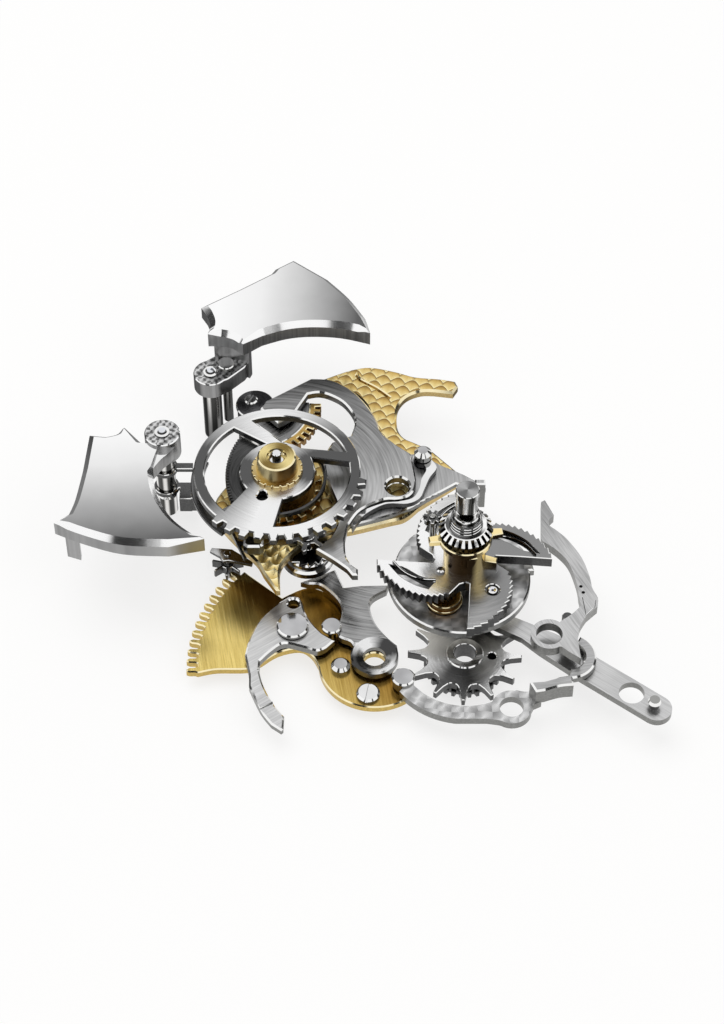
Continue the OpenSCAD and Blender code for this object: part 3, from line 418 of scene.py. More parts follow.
def new_finish(name, rough, anisotropy=0.0):
    """Starts a metal finish: (material, its nodes, its links, its shader)."""
    finish = bpy.data.materials.new(name)
    finish.use_nodes = True
    shader = finish.node_tree.nodes["Principled BSDF"]
    shader.inputs["Metallic"].default_value = 1.0
    shader.inputs["Roughness"].default_value = rough
    shader.inputs["Anisotropic"].default_value = anisotropy
    return finish, finish.node_tree.nodes, finish.node_tree.links, shader


def place_group(nodes, group, **values):
    """Puts a node group in a material, with its own values, and gives its outputs."""
    node = nodes.new("ShaderNodeGroup")
    node.node_tree = group
    for label, value in values.items():
        node.inputs[label.replace("_", " ")].default_value = value
    return node.outputs


def tone_ramp(nodes, links, source, stops):
    """A colour that follows a value: stops are (value, (r, g, b))."""
    ramp = nodes.new("ShaderNodeValToRGB")
    bar = ramp.color_ramp
    while len(bar.elements) < len(stops):
        bar.elements.new(0.5)
    for element, (at, colour) in zip(bar.elements, stops):
        element.position = at
        element.color = (*colour, 1)
    links.new(source, ramp.inputs["Fac"])
    return ramp.outputs["Color"]


def relief(nodes, links, shader, height, depth, strength):
    """Feeds a height to the shader's normal, as cut marks of that depth in millimetres."""
    bump = nodes.new("ShaderNodeBump")
    bump.inputs["Strength"].default_value = strength
    bump.inputs["Distance"].default_value = depth * mm
    links.new(height, bump.inputs["Height"])
    links.new(bump.outputs["Normal"], shader.inputs["Normal"])


def roughness_between(nodes, links, shader, source, low, high):
    """Lets the roughness follow a value between two figures."""
    span = nodes.new("ShaderNodeMapRange")
    span.inputs["To Min"].default_value = low
    span.inputs["To Max"].default_value = high
    links.new(source, span.inputs["Value"])
    links.new(span.outputs["Result"], shader.inputs["Roughness"])


engraved_scales = cut_scales()
polishing_marks = cut_fine_marks()


def engraved(name, stops, width, row, lean, depth, rough, scratched=None):
    """Metal engraved with scales. stops are the colours from a scale's root to its free edge, painted
    highlight at the light end and painted shade at the dark end, and scratched is the roughness between and
    on the graver's marks."""
    finish, nodes, links, shader = new_finish(name, rough)
    scales = place_group(nodes, engraved_scales, Width=width, Row=row, Lean=lean)
    links.new(tone_ramp(nodes, links, scales["Shade"], stops), shader.inputs["Base Color"])
    relief(nodes, links, shader, scales["Height"], depth, strength=1.0)
    if scratched:
        roughness_between(nodes, links, shader, scales["Scratch"], *scratched)
    return finish


def polished(name, colour, rough, depth=0.0006, shade=0.88):
    """A polished metal: nearly even colour, with faint clouds and marks left by the polishing."""
    finish, nodes, links, shader = new_finish(name, rough)
    marks = place_group(nodes, polishing_marks)
    tones = [(0.3, tuple(c * shade for c in colour)), (0.7, colour)]
    links.new(tone_ramp(nodes, links, marks["Cloud"], tones), shader.inputs["Base Color"])
    relief(nodes, links, shader, marks["Height"], depth, strength=0.5)
    roughness_between(nodes, links, shader, marks["Height"], rough * 0.7, rough * 1.5)
    return finish


def sawn(name, colour, rough):
    """A face with small marks of the cutter, in the colour it is given."""
    marks_per_mm, mark_depth, mark_tone = 14, 0.004, 0.6
    finish, nodes, links, shader = new_finish(name, rough)
    marks = place_group(nodes, polishing_marks, Marks_per_mm=marks_per_mm)
    tones = [(0.3, tuple(c * mark_tone for c in colour)), (0.7, colour)]
    links.new(tone_ramp(nodes, links, marks["Height"], tones), shader.inputs["Base Color"])
    relief(nodes, links, shader, marks["Height"], mark_depth, strength=0.6)
    roughness_between(nodes, links, shader, marks["Cloud"], rough * 0.8, rough * 1.2)
    return finish


# Both gold finishes colour each scale from painted highlight at one end to painted shade at the other.
scaled_gold = engraved("scaled_gold", [
    (0.0, (1.0, 0.9, 0.54)), (0.12, (0.88, 0.72, 0.33)),
    (0.6, (0.66, 0.46, 0.15)), (1.0, (0.24, 0.13, 0.033))],
    width=0.62, row=0.4, lean=0.25, depth=0.07, rough=0.34, scratched=(0.28, 0.44))
tip_gold = engraved("faceted_tip_gold", [
    (0.0, (1.0, 0.94, 0.62)), (0.2, (0.98, 0.84, 0.44)), (1.0, (0.62, 0.44, 0.14))],
    width=0.55, row=0.36, lean=3.3, depth=0.09, rough=0.16)
gold_edge = polished("polished_gold_edge", (1.0, 0.88, 0.56), rough=0.1)
# Flanks are given a darker gold than the tops, as painted shade on the side walls.
gold_flank_painted_shade = sawn("gold_flank_painted_shade", (0.74, 0.55, 0.24), rough=0.32)
# Faces that look down are given a very dark gold, as painted shade under the bridge.
gold_under_painted_shade = sawn("gold_underside_painted_shade", (0.10, 0.055, 0.012), rough=0.5)
tip_left_of = -5
tip_in_front_of = 1.2


def on_front_tip(x, y, z):
    """Whether a place on the gold bridge is on its front tip."""
    return x < tip_left_of and y < tip_in_front_of


face_off("gold_bridge", scaled_gold, gold_edge, gold_flank_painted_shade, chamfer=0.09,
         second=(tip_gold, on_front_tip), under=gold_under_painted_shade)


# Grained plate and steel bridge. Two steel plates screwed on top of the gold bridge, brushed in fine curved
# strokes round the strike wheel, with polished chamfers. The bridge's round hole takes a screw head or a
# jewel setting.
joint_place = {joint["name"]: joint["pos_m"] for joint in behaviour["joints"]}


def axis_of(joint):
    """Where the upright axis of a joint stands, as x and y in millimetres."""
    return tuple(round(c * mm_per_metre, 4) for c in joint_place[joint][:2])


def grey(tone):
    """A plain grey."""
    return (tone, tone, tone)


def joined(nodes, links, x, y, z):
    """A place made of three figures, each a number or a socket."""
    place = nodes.new("ShaderNodeCombineXYZ")
    for socket, value in zip(place.inputs, (x, y, z)):
        feed(links, socket, value)
    return place.outputs[0]


def cut_turned_grain():
    """Strokes that run round a centre, as a wheel turned under a stone gets them: Streak, Height, and Bow,
    which is painted highlight, light in a number of equal parts of the turn where turned steel would catch
    the light, and dimmed on the far half by Far side as painted shade."""
    group, nodes, links, given, gives = bench_sheet("turned_grain", {
        "Centre": (0, 0, 0), "Strokes per mm": 16.0, "Length": 2.0, "Bow turn": 0.0, "Bow count": 2.0,
        "Bow power": 1.0, "Far side": 1.0}, ["Streak", "Height", "Bow"])
    maths = functools.partial(sum_of, nodes, links)
    off = vector_sum(nodes, links, "SUBTRACT", place_in_mm(nodes, links), given["Centre"])
    x, y = x_and_y(nodes, links, off)
    radius = maths("SQRT", maths("ADD", maths("MULTIPLY", x, x), maths("MULTIPLY", y, y)))
    angle = maths("ARCTAN2", y, x)
    round_x = maths("MULTIPLY", maths("COSINE", angle), given["Length"])
    round_y = maths("MULTIPLY", maths("SINE", angle), given["Length"])
    rings = maths("MULTIPLY", radius, given["Strokes per mm"])
    wound = joined(nodes, links, round_x, round_y, rings)
    streak = soft_noise(nodes, links, wound, scale=1, detail=2.5, roughness=0.6)
    # Painted highlight: light lobes round the turn, dimmed on the half behind the centre as painted shade.
    wave = maths("COSINE", maths("MULTIPLY", maths("SUBTRACT", angle, given["Bow turn"]), given["Bow count"]))
    painted_highlight = maths("POWER", maths("MULTIPLY_ADD", wave, 0.5, 0.5), given["Bow power"])
    behind = maths("MAXIMUM", maths("SINE", angle), 0.0)
    far_side_shade = maths("MULTIPLY", behind, maths("SUBTRACT", 1.0, given["Far side"]))
    links.new(streak, gives["Streak"])
    links.new(streak, gives["Height"])
    links.new(maths("MULTIPLY", painted_highlight, maths("SUBTRACT", 1.0, far_side_shade)), gives["Bow"])
    return group


turned_grain = cut_turned_grain()


def turned(name, dark, light, centre, rough, strokes, length,
           painted_highlight=0.0, bow_turn=1.57, count=2, power=1.0, far=1.0):
    """Metal grained in strokes round a centre, with painted highlights. bow is how much of the tone comes
    from the painted highlights, count is how many there are round the turn, bow_turn is where, power is
    how narrow, and far is how much of them is kept on the far half, the rest being painted shade."""
    finish, nodes, links, shader = new_finish(name, rough, anisotropy=0.4)
    grain = place_group(nodes, turned_grain, Centre=(*centre, 0), Strokes_per_mm=strokes, Length=length,
                        Bow_turn=bow_turn, Bow_count=count, Bow_power=power, Far_side=far)
    tone = mixed(nodes, links, painted_highlight, grain["Streak"], grain["Bow"])
    links.new(tone_ramp(nodes, links, tone, [(0.22, dark), (0.78, light)]), shader.inputs["Base Color"])
    relief(nodes, links, shader, grain["Height"], depth=0.003, strength=0.7)
    roughness_between(nodes, links, shader, grain["Streak"], rough * 0.75, rough * 1.3)
    return finish


strike_wheel_axis = axis_of("strike_wheel_turn")
steel_edge = polished("polished_steel_edge", (0.93, 0.93, 0.92), rough=0.08)
# Flanks are given a darker steel than the tops, as painted shade on the side walls.
steel_flank_painted_shade = sawn("steel_flank_painted_shade", (0.30, 0.30, 0.29), rough=0.3)
# Faces of the plates that look down are given a very dark steel, as painted shade.
steel_under_painted_shade = sawn("steel_underside_painted_shade", (0.10, 0.095, 0.085), rough=0.5)
# The plates' grain has painted highlights in two parts of its turn round the strike wheel.
bridge_grain = turned("bridge_grained_steel", grey(0.16), grey(0.62), strike_wheel_axis,
                      rough=0.3, strokes=13, length=2.4, painted_highlight=0.35, bow_turn=-0.5, power=1.4)
face_off("steel_bridge", bridge_grain, steel_edge, steel_flank_painted_shade,
         chamfer=0.07, under=steel_under_painted_shade)
face_off("grained_plate", bridge_grain, steel_edge, steel_flank_painted_shade,
         chamfer=0.06, under=steel_under_painted_shade)


# Posts and small fixings of the frame. Turned steel pillars, the rear post with its dark turned cap and
# slotted screw, the pawl block on the gold bridge and the stud that stops the ratchet lever.
def post_side(name, centre, count, turn):
    """The side of a turned and polished post: dark, with a number of painted highlight streaks along it."""
    return turned(name, (0.06, 0.06, 0.057), (0.86, 0.85, 0.83), centre, rough=0.16, strokes=6, length=3.0,
                  painted_highlight=0.85, bow_turn=turn, count=count, power=1.8)


rear_post_axis = axis_of("hour_rack_swing")
# The cap carries faint painted highlights round its turn.
dark_disc = turned("dark_turned_disc", (0.06, 0.06, 0.065), (0.34, 0.34, 0.35), rear_post_axis,
                   rough=0.16, strokes=20, length=1.0, painted_highlight=0.4)
post_steel = polished("post_steel", (0.34, 0.34, 0.33), rough=0.14, depth=0.001)
rear_post_side = post_side("rear_post_side", rear_post_axis, count=7, turn=0.2)
dark_steel = sawn("dark_cut_steel", grey(0.12), rough=0.28)
screw_top = polished("screw_steel", grey(0.82), rough=0.1)
slot_dark = sawn("screw_slot_steel", grey(0.2), rough=0.3)
face_off("rear_post", post_steel, steel_edge, rear_post_side, chamfer=0.04)
face_off("rear_post_cap", dark_disc, steel_edge, dark_steel, chamfer=0.06)
face_off("rear_post_screw", screw_top, steel_edge, slot_dark, chamfer=0.02)
face_off("support_pillars", post_steel, steel_edge, post_steel, chamfer=0.03)
face_off("locking_pawl", dark_steel, steel_edge, dark_steel, chamfer=0.08)
face_off("banking_stud", dark_steel, steel_edge, dark_steel, chamfer=0.03)


# Left hammer. A heavy hardened steel head, mirror polished on top with a wide bevel, satin on its flanks.
# Its hub is spotted and holds a jewelled pivot, and it swings on a polished post that carries the two
# lifting arms.
def cut_spots():
    """Overlapping round spots pressed on by a turning peg: Shade is painted light and shade on each spot, a
    painted highlight that goes round it where its grain would catch the light, over painted shade that
    darkens from its middle to its rim, and Height is the grain itself."""
    unevenness, rings_per_spot, spot_shade_middle, spot_shade_fall = 0.6, 60.0, 0.95, 0.9
    group, nodes, links, given, gives = bench_sheet(
        "spotted_grain", {"Spots per mm": 3.4, "Bow turn": 0.9, "Contrast": 0.5}, ["Shade", "Height"])
    maths = functools.partial(sum_of, nodes, links)
    scaled = vector_sum(nodes, links, "SCALE", place_in_mm(nodes, links), given["Spots per mm"])
    cells = nodes.new("ShaderNodeTexVoronoi")
    cells.voronoi_dimensions = "2D"
    cells.inputs["Scale"].default_value = 1
    cells.inputs["Randomness"].default_value = unevenness
    links.new(scaled, cells.inputs["Vector"])
    from_middle = cells.outputs["Distance"]
    x, y = x_and_y(nodes, links, vector_sum(nodes, links, "SUBTRACT", scaled, cells.outputs["Position"]))
    angle = maths("ARCTAN2", y, x)
    wave = maths("COSINE", maths("MULTIPLY", maths("SUBTRACT", angle, given["Bow turn"]), 2.0))
    painted_highlight = maths("MULTIPLY_ADD", wave, 0.5, 0.5)
    off_middle = maths("MINIMUM", maths("MULTIPLY", from_middle, 5.0), 1.0)
    bow_share = maths("MULTIPLY", off_middle, given["Contrast"])
    # Painted shade: each spot is coloured lighter in its middle and darker towards its rim.
    painted_spot_shade = maths("SUBTRACT", spot_shade_middle, maths("MULTIPLY", from_middle, spot_shade_fall))
    rings = maths("MULTIPLY", maths("SINE", maths("MULTIPLY", from_middle, rings_per_spot)), 0.1)
    swell = maths("MULTIPLY", maths("SUBTRACT", 1.0, from_middle), 0.6)
    links.new(mixed(nodes, links, bow_share, painted_spot_shade, painted_highlight), gives["Shade"])
    links.new(maths("ADD", rings, swell), gives["Height"])
    return group


spotted_grain = cut_spots()


def spotted(name, dark, light, rough, spots, depth, contrast):
    """Metal covered in small overlapping spots, so many to the millimetre, coloured by their painted light
    and shade.
    """
    finish, nodes, links, shader = new_finish(name, rough)
    peg = place_group(nodes, spotted_grain, Spots_per_mm=spots, Contrast=contrast)
    tone = tone_ramp(nodes, links, peg["Shade"], [(0.1, dark), (0.95, light)])
    links.new(tone, shader.inputs["Base Color"])
    relief(nodes, links, shader, peg["Height"], depth, strength=0.6)
    return finish


def share_of_way(nodes, links, start, end):
    """How far a point lies along the way from start to end, two points in millimetres."""
    off = vector_sum(nodes, links, "SUBTRACT", place_in_mm(nodes, links), (*start, 0))
    run = (end[0] - start[0], end[1] - start[1])
    size = run[0] ** 2 + run[1] ** 2
    return vector_sum(nodes, links, "DOT_PRODUCT", off, (run[0] / size, run[1] / size, 0))


def painted_reflection_mirror(name, start, end, stops):
    """A mirror polished face with a painted reflection whose tone changes slowly from start to end: stops are
    (share of the way, tone)."""
    cloud_drift, mark_depth = 0.06, 0.0003
    finish, nodes, links, shader = new_finish(name, rough=0.05)
    marks = place_group(nodes, polishing_marks)
    drift = sum_of(nodes, links, "MULTIPLY_ADD", marks["Cloud"], cloud_drift, -cloud_drift / 2)
    way = sum_of(nodes, links, "ADD", share_of_way(nodes, links, start, end), drift)
    tones = [(at, grey(tone)) for at, tone in stops]
    links.new(tone_ramp(nodes, links, way, tones), shader.inputs["Base Color"])
    relief(nodes, links, shader, marks["Height"], mark_depth, strength=0.5)
    return finish


left_hammer_axis = axis_of("left_hammer_swing")
rear_hammer_axis = axis_of("rear_hammer_swing")
# Painted reflection on the left hammer's face, light at its back and dark at its front.
left_mirror = painted_reflection_mirror("left_hammer_mirror", (-13.5, 5.6), (-13.0, -0.2),
                            [(0.0, 0.95), (0.3, 0.82), (0.62, 0.46), (1.0, 0.13)])
hammer_bevel = polished("hammer_bevel_steel", grey(0.95), rough=0.1, depth=0.0003, shade=0.97)
hammer_flank = turned("hammer_satin_flank", grey(0.2), grey(0.44), left_hammer_axis,
                      rough=0.3, strokes=14, length=3)
hub_spots = spotted("hub_spotted_steel", grey(0.05), grey(0.72),
                    rough=0.25, spots=3.6, depth=0.008, contrast=0.7)
left_post_side = post_side("left_post_side", left_hammer_axis, count=6, turn=0.5)
pivot_jewel = polished("pivot_jewel", (0.8, 0.82, 0.86), rough=0.06)
hammer_bevel_width = 0.22
hub_chamfer = 0.04
left_head_below = 4.66


def left_bevel(height):
    """The low head of the left hammer has the wide bevel, and the hub above it a fine one."""
    return hammer_bevel_width if height < left_head_below else hub_chamfer


face_off("left_hammer", left_mirror, hammer_bevel, hammer_flank, chamfer=left_bevel,
         second=(hub_spots, lambda x, y, z: z > left_head_below))
face_off("left_hammer_post", post_steel, steel_edge, left_post_side, chamfer=0.03)
face_off("left_hammer_pivot", pivot_jewel, steel_edge, dark_steel, chamfer=0.02)
face_off("left_hammer_pallet", dark_steel, steel_edge, dark_steel, chamfer=0.03)


# Rear hammer. The second head, mirror polished like the first, with a curved web down to its spotted hub, a
# round headed pin through the arm, and its own polished post.
# Painted reflection on the rear hammer's face, light at its left end and dark at its right.
rear_mirror = painted_reflection_mirror("rear_hammer_mirror", (-10.0, 12.3), (-4.2, 11.9),
                            [(0.0, 0.96), (0.3, 0.86), (0.6, 0.58), (1.0, 0.12)])
rear_hub_post_side = post_side("rear_hub_post_side", rear_hammer_axis, count=6, turn=0.2)
rear_head_above = 4.5


def rear_bevel(height):
    """The high head of the rear hammer has the wide bevel, and the hub below it a fine one."""
    return hammer_bevel_width if height > rear_head_above else hub_chamfer


face_off("rear_hammer", rear_mirror, hammer_bevel, hammer_flank, chamfer=rear_bevel,
         second=(hub_spots, lambda x, y, z: z < rear_head_above))
face_off("rear_hammer_post", post_steel, steel_edge, rear_hub_post_side, chamfer=0.03)
face_off("rear_hammer_pivot", pivot_jewel, steel_edge, dark_steel, chamfer=0.02)
face_off("rear_hammer_pin", screw_top, steel_edge, post_steel, chamfer=0.03)


# Strike wheel. A flat brushed steel wheel with three swept windows and thirteen teeth on one side. A gold
# ring with fine notches and a turned gold cap hold it on its arbor.
# The wheel, the gold cap and the ring carry painted highlights round the turn, and the wheel's far half is
# painted darker as painted shade.
wheel_face = turned("strike_wheel_steel", grey(0.1), grey(0.86), strike_wheel_axis,
                    rough=0.24, strokes=15, length=2.6, painted_highlight=0.84, bow_turn=1.66, power=1.1, far=0.8)
# Faces that look down on the wheels, the hour rack, the drum and the snails are given a near white steel as
# painted light, so that the parts below them show a bright reflection of it.
under_painted_light = sawn("underside_painted_light", (0.92, 0.9, 0.84), rough=0.4)
cap_gold = turned("hub_cap_gold", (0.22, 0.15, 0.045), (0.8, 0.66, 0.3), strike_wheel_axis,
                  rough=0.26, strokes=18, length=1.2, painted_highlight=0.6, bow_turn=2.6, power=1.2)
ring_gold = turned("hub_ring_gold", (0.3, 0.2, 0.07), (0.72, 0.56, 0.26), strike_wheel_axis,
                   rough=0.26, strokes=18, length=1.2, painted_highlight=0.4, bow_turn=2.6)
cap_side = turned("hub_cap_side_gold", (0.16, 0.09, 0.025), (1.0, 0.86, 0.48), strike_wheel_axis,
                  rough=0.3, strokes=10, length=2.0, painted_highlight=0.84, bow_turn=3.7)
face_off("strike_wheel", wheel_face, steel_edge, dark_steel, chamfer=0.045, under=under_painted_light)
face_off("strike_wheel_arbor", screw_top, steel_edge, dark_steel, chamfer=0.03)
face_off("hub_cap", cap_gold, gold_edge, cap_side, chamfer=0.04)
face_off("hub_ring", ring_gold, gold_edge, gold_flank_painted_shade, chamfer=0.02)


# Wheels under the strike wheel. A dark steel sector with fine teeth, a gold wheel with square teeth, and a
# thin steel sector at the left, all pressed on the same arbor.
# These faces carry faint painted highlights round the turn.
ratchet_face = turned("fine_ratchet_steel", grey(0.03), grey(0.12), strike_wheel_axis,
                      rough=0.28, strokes=15, length=2.2, painted_highlight=0.4)
sector_face = turned("ring_sector_steel", grey(0.08), grey(0.3), strike_wheel_axis,
                     rough=0.28, strokes=15, length=2.2, painted_highlight=0.4)
train_gold = turned("train_wheel_gold", (0.16, 0.085, 0.02), (0.6, 0.4, 0.13), strike_wheel_axis,
                    rough=0.28, strokes=12, length=2, painted_highlight=0.3)
train_flank = sawn("train_wheel_flank", (0.3, 0.17, 0.05), rough=0.25)
face_off("fine_ratchet", ratchet_face, dark_steel, dark_steel,
         chamfer=0.03, under=under_painted_light)
face_off("train_wheel", train_gold, gold_edge, train_flank, chamfer=0.03, under=under_painted_light)
face_off("ring_sector", sector_face, dark_steel, dark_steel,
         chamfer=0.03, under=under_painted_light)


# Hour rack and locking drum. The rack is a steel sector on the rear post with square gold teeth on its
# edge. The drum is a turned steel cylinder with a fine ratchet on top, hanging from the gold bridge.
drum_axis = axis_of("locking_drum_turn")
rack_steel = turned("hour_rack_steel", grey(0.12), grey(0.4), rear_post_axis,
                    rough=0.28, strokes=14, length=2)
# The drum's top and side carry painted highlights round the turn, the side black between its light streaks.
drum_face = turned("locking_drum_steel", grey(0.01), grey(0.1), drum_axis,
                   rough=0.2, strokes=14, length=1.4, painted_highlight=0.4)
drum_side = turned("locking_drum_side", grey(0.01), grey(0.55), drum_axis,
                   rough=0.16, strokes=8, length=2.0, painted_highlight=0.8, bow_turn=4.4, count=5, power=2.5)
drum_black = sawn("drum_ratchet_steel", grey(0.03), rough=0.24)
face_off("hour_rack", rack_steel, steel_edge, dark_steel, chamfer=0.04, under=under_painted_light)
face_off("hour_rack_teeth", train_gold, gold_edge, train_flank, chamfer=0.03)
face_off("locking_drum", drum_face, steel_edge, drum_side, chamfer=0.04, under=under_painted_light)
face_off("drum_arbor", dark_steel, steel_edge, dark_steel, chamfer=0.02)
face_off("drum_ratchet", drum_black, steel_edge, drum_black, chamfer=0.02)


# Strike rack. A flat brass sector with twelve rounded teeth, brushed straight across and gilt. It turns on
# a stud of the main plate, and a slotted screw and two polished banking pins stand on it.
def cut_straight_grain():
    """Straight strokes of a fine stone: Streak and Height run along one direction, and Cloud is broad soft
    tone."""
    clouds_per_mm, layers_per_mm = 0.5, 2
    group, nodes, links, given, gives = bench_sheet(
        "straight_grain", {"Turn": 0.0, "Strokes per mm": 16.0, "Length": 1.4}, ["Streak", "Height", "Cloud"])
    spot = place_in_mm(nodes, links)
    across = turned_flat(nodes, links, spot, given["Turn"])
    strokes_along = sum_of(nodes, links, "DIVIDE", 1.0, given["Length"])
    stretch = joined(nodes, links, strokes_along, given["Strokes per mm"], layers_per_mm)
    drawn_out = vector_sum(nodes, links, "MULTIPLY", across, stretch)
    streak = soft_noise(nodes, links, drawn_out, scale=1, detail=3, roughness=0.65)
    links.new(streak, gives["Streak"])
    links.new(streak, gives["Height"])
    links.new(soft_noise(nodes, links, spot, clouds_per_mm), gives["Cloud"])
    return group


straight_grain = cut_straight_grain()


def brushed(name, dark, light, turn, rough=0.3, strokes=16, length=1.4, fall=None):
    """Metal brushed straight. turn is the way of the strokes, in degrees. fall is (start, end, share): the
    colour sinks to that share of itself from one point to the other, as painted shade."""
    cloud_share, full_until = 0.25, 0.25
    finish, nodes, links, shader = new_finish(name, rough)
    grain = place_group(nodes, straight_grain,
                        Turn=math.radians(-turn), Strokes_per_mm=strokes, Length=length)
    tone = mixed(nodes, links, cloud_share, grain["Streak"], grain["Cloud"])
    colour = tone_ramp(nodes, links, tone, [(0.28, dark), (0.72, light)])
    if fall:
        start, end, share = fall
        way = share_of_way(nodes, links, start, end)
        painted_shade_tone = tone_ramp(nodes, links, way, [(full_until, grey(1)), (1.0, share)])
        colour = vector_sum(nodes, links, "MULTIPLY", colour, painted_shade_tone)
    links.new(colour, shader.inputs["Base Color"])
    relief(nodes, links, shader, grain["Height"], depth=0.003, strength=0.7)
    roughness_between(nodes, links, shader, grain["Streak"], rough * 0.75, rough * 1.3)
    return finish


# The rack's gold is painted darker towards its upper right, as painted shade under the parts above it.
rack_gold = brushed("rack_brushed_gold", (0.5, 0.35, 0.08), (0.97, 0.77, 0.28),
                    turn=100, rough=0.24, strokes=15, length=1.8,
                    fall=((-9.0, -3.6), (-5.4, -0.6), (0.36, 0.22, 0.07)))
rack_side = sawn("rack_gold_flank", (0.7, 0.5, 0.15), rough=0.3)
pin_mirror = polished("pin_mirror_steel", (0.54, 0.54, 0.55), rough=0.07, shade=0.72)
face_off("strike_rack", rack_gold, gold_edge, rack_side, chamfer=0.05)
face_off("rack_screw", screw_top, steel_edge, slot_dark, chamfer=0.03)
face_off("rack_banking_pins", pin_mirror, steel_edge, post_steel, chamfer=0.03)


# Hook lever and rack lever. Hardened steel levers that ride on the rack. The hook is brushed along its
# length and turns on a broad mirror headed pin, and the rack lever's bevels and countersunk hub are turned,
# with painted highlights round the hub.
hook_steel = brushed("hook_lever_steel", grey(0.44), grey(0.8), turn=35, strokes=17, length=1.8)
lever_stroke_centre = (-3.0, 3.4)
lever_steel = turned("rack_lever_steel", grey(0.1), grey(0.55), lever_stroke_centre,
                     rough=0.28, strokes=15, length=2.6)
rack_lever_axis = axis_of("rack_lever_swing")
countersink = turned("rack_lever_countersink", grey(0.06), grey(0.8), rack_lever_axis,
                     rough=0.2, strokes=12, length=2.2, painted_highlight=0.75, bow_turn=2.2, power=1.3)
countersink_r = 0.9


def in_countersink(x, y, z):
    """Whether a place on the rack lever is in the countersink of its hub."""
    return math.dist((x, y), rack_lever_axis) < countersink_r


face_off("hook_lever", hook_steel, steel_edge, steel_flank_painted_shade, chamfer=0.07)
face_off("hook_lever_pin", pin_mirror, steel_edge, post_steel, chamfer=0.04)
face_off("rack_lever", lever_steel, countersink, steel_flank_painted_shade, chamfer=0.07,
         second=(countersink, in_countersink))


# Rack pinion. A seven leaved steel pinion that the rack drives, on its own arbor, with a thin two armed
# finger. The leaves are left as cut, and the arbor is polished.
face_off("rack_pinion", dark_steel, steel_edge, dark_steel, chamfer=0.02)
face_off("rack_pinion_arbor", post_steel, steel_edge, post_steel, chamfer=0.02)
face_off("pinion_finger", drum_side, steel_edge, dark_steel, chamfer=0.02)


# Centre column. The polished cannon with its oval hole and smooth top, four thin rings, and the crown wheel
# with a bevel of deep teeth. The cannon and the crown wheel carry painted highlights round the turn.
column_axis = axis_of("centre_stack_turn")
cannon_steel = turned("cannon_mirror_steel", (0.07, 0.07, 0.065), (0.98, 0.98, 0.97), column_axis,
                      rough=0.14, strokes=5, length=3.0, painted_highlight=0.85, bow_turn=0.35, count=6, power=1.6)
cannon_end = turned("cannon_end_steel", grey(0.16), grey(0.42), column_axis,
                    rough=0.2, strokes=12, length=2.0, painted_highlight=0.7, bow_turn=2.4)
ring_steel = polished("cannon_ring_steel", grey(0.2), rough=0.1)
crown_steel = turned("crown_wheel_steel", grey(0.12), grey(0.95), column_axis,
                     rough=0.14, strokes=10, length=2.0, painted_highlight=0.8, bow_turn=4.2, count=3, power=1.2)
crown_teeth = sawn("crown_teeth_steel", grey(0.3), rough=0.18)
face_off("cannon", cannon_end, steel_edge, cannon_steel, chamfer=0.03)
face_off("cannon_rings", ring_steel, steel_edge, ring_steel, chamfer=0.02)
face_off("crown_wheel", crown_steel, steel_edge, crown_teeth, chamfer=0.02)


# Gold sleeve. A turned gold cup with three arms and a pointed lobe on a polished barrel. It sits on the
# cannon and carries the snails.
# The cup and the barrel carry painted highlights round the turn, the barrel dark between them as painted
# shade.
sleeve_gold = turned("sleeve_gold", (0.2, 0.12, 0.035), (0.95, 0.78, 0.4), column_axis,
                     rough=0.14, strokes=8, length=2.0, painted_highlight=0.8, bow_turn=0.3, power=1.2)
sleeve_side = turned("sleeve_barrel_gold", (0.035, 0.018, 0.004), (1.0, 0.8, 0.38), column_axis,
                     rough=0.14, strokes=4, length=3.0, painted_highlight=0.88, bow_turn=5.5, count=3, power=3.0)
face_off("gold_sleeve", sleeve_gold, gold_edge, sleeve_side, chamfer=0.04)


# Minute snail. A steel cam of four arms, each cut in fourteen steps, grained, with blade springs lying on
# three of the arms, a small screw and a ring jewel.
# The snail's face carries one painted highlight on one side of its turn and is darker on the other, as
# painted shade.
snail_face = turned("minute_snail_steel", grey(0.26), grey(0.9), column_axis,
                    rough=0.24, strokes=13, length=1.6, painted_highlight=0.74, bow_turn=3.1, count=1, power=1.3)
blade_steel = polished("blade_spring_steel", grey(0.02), rough=0.16)
jewel_ring = polished("ring_jewel", (0.8, 0.8, 0.84), rough=0.06)
face_off("minute_snail", snail_face, steel_edge, dark_steel, chamfer=0.03, under=under_painted_light)
face_off("snail_springs", blade_steel, steel_edge, blade_steel, chamfer=0.02)
face_off("snail_screw", screw_top, steel_edge, slot_dark, chamfer=0.02)
face_off("snail_jewel", jewel_ring, steel_edge, dark_steel, chamfer=0.01)


# Quarter snail. The lower cam, with four steps, spotted all over its face and bevelled to a white rim. A
# gold cup rolls on its pin, and the small setting pinion stands on a stud above.
quarter_face = spotted("quarter_snail_steel", grey(0.2), grey(0.72),
                       rough=0.28, spots=2.0, depth=0.008, contrast=0.35)
cup_gold = turned("roller_gold", (0.1, 0.05, 0.01), (0.6, 0.36, 0.1), axis_of("gold_roller_turn"),
                  rough=0.3, strokes=9, length=8)
face_off("quarter_snail", quarter_face, steel_edge, steel_flank_painted_shade,
         chamfer=0.06, under=under_painted_light)
face_off("gold_roller", cup_gold, gold_edge, cap_side, chamfer=0.02)
face_off("setting_pinion", dark_steel, steel_edge, dark_steel, chamfer=0.02)
face_off("setting_stud", post_steel, steel_edge, post_steel, chamfer=0.02)


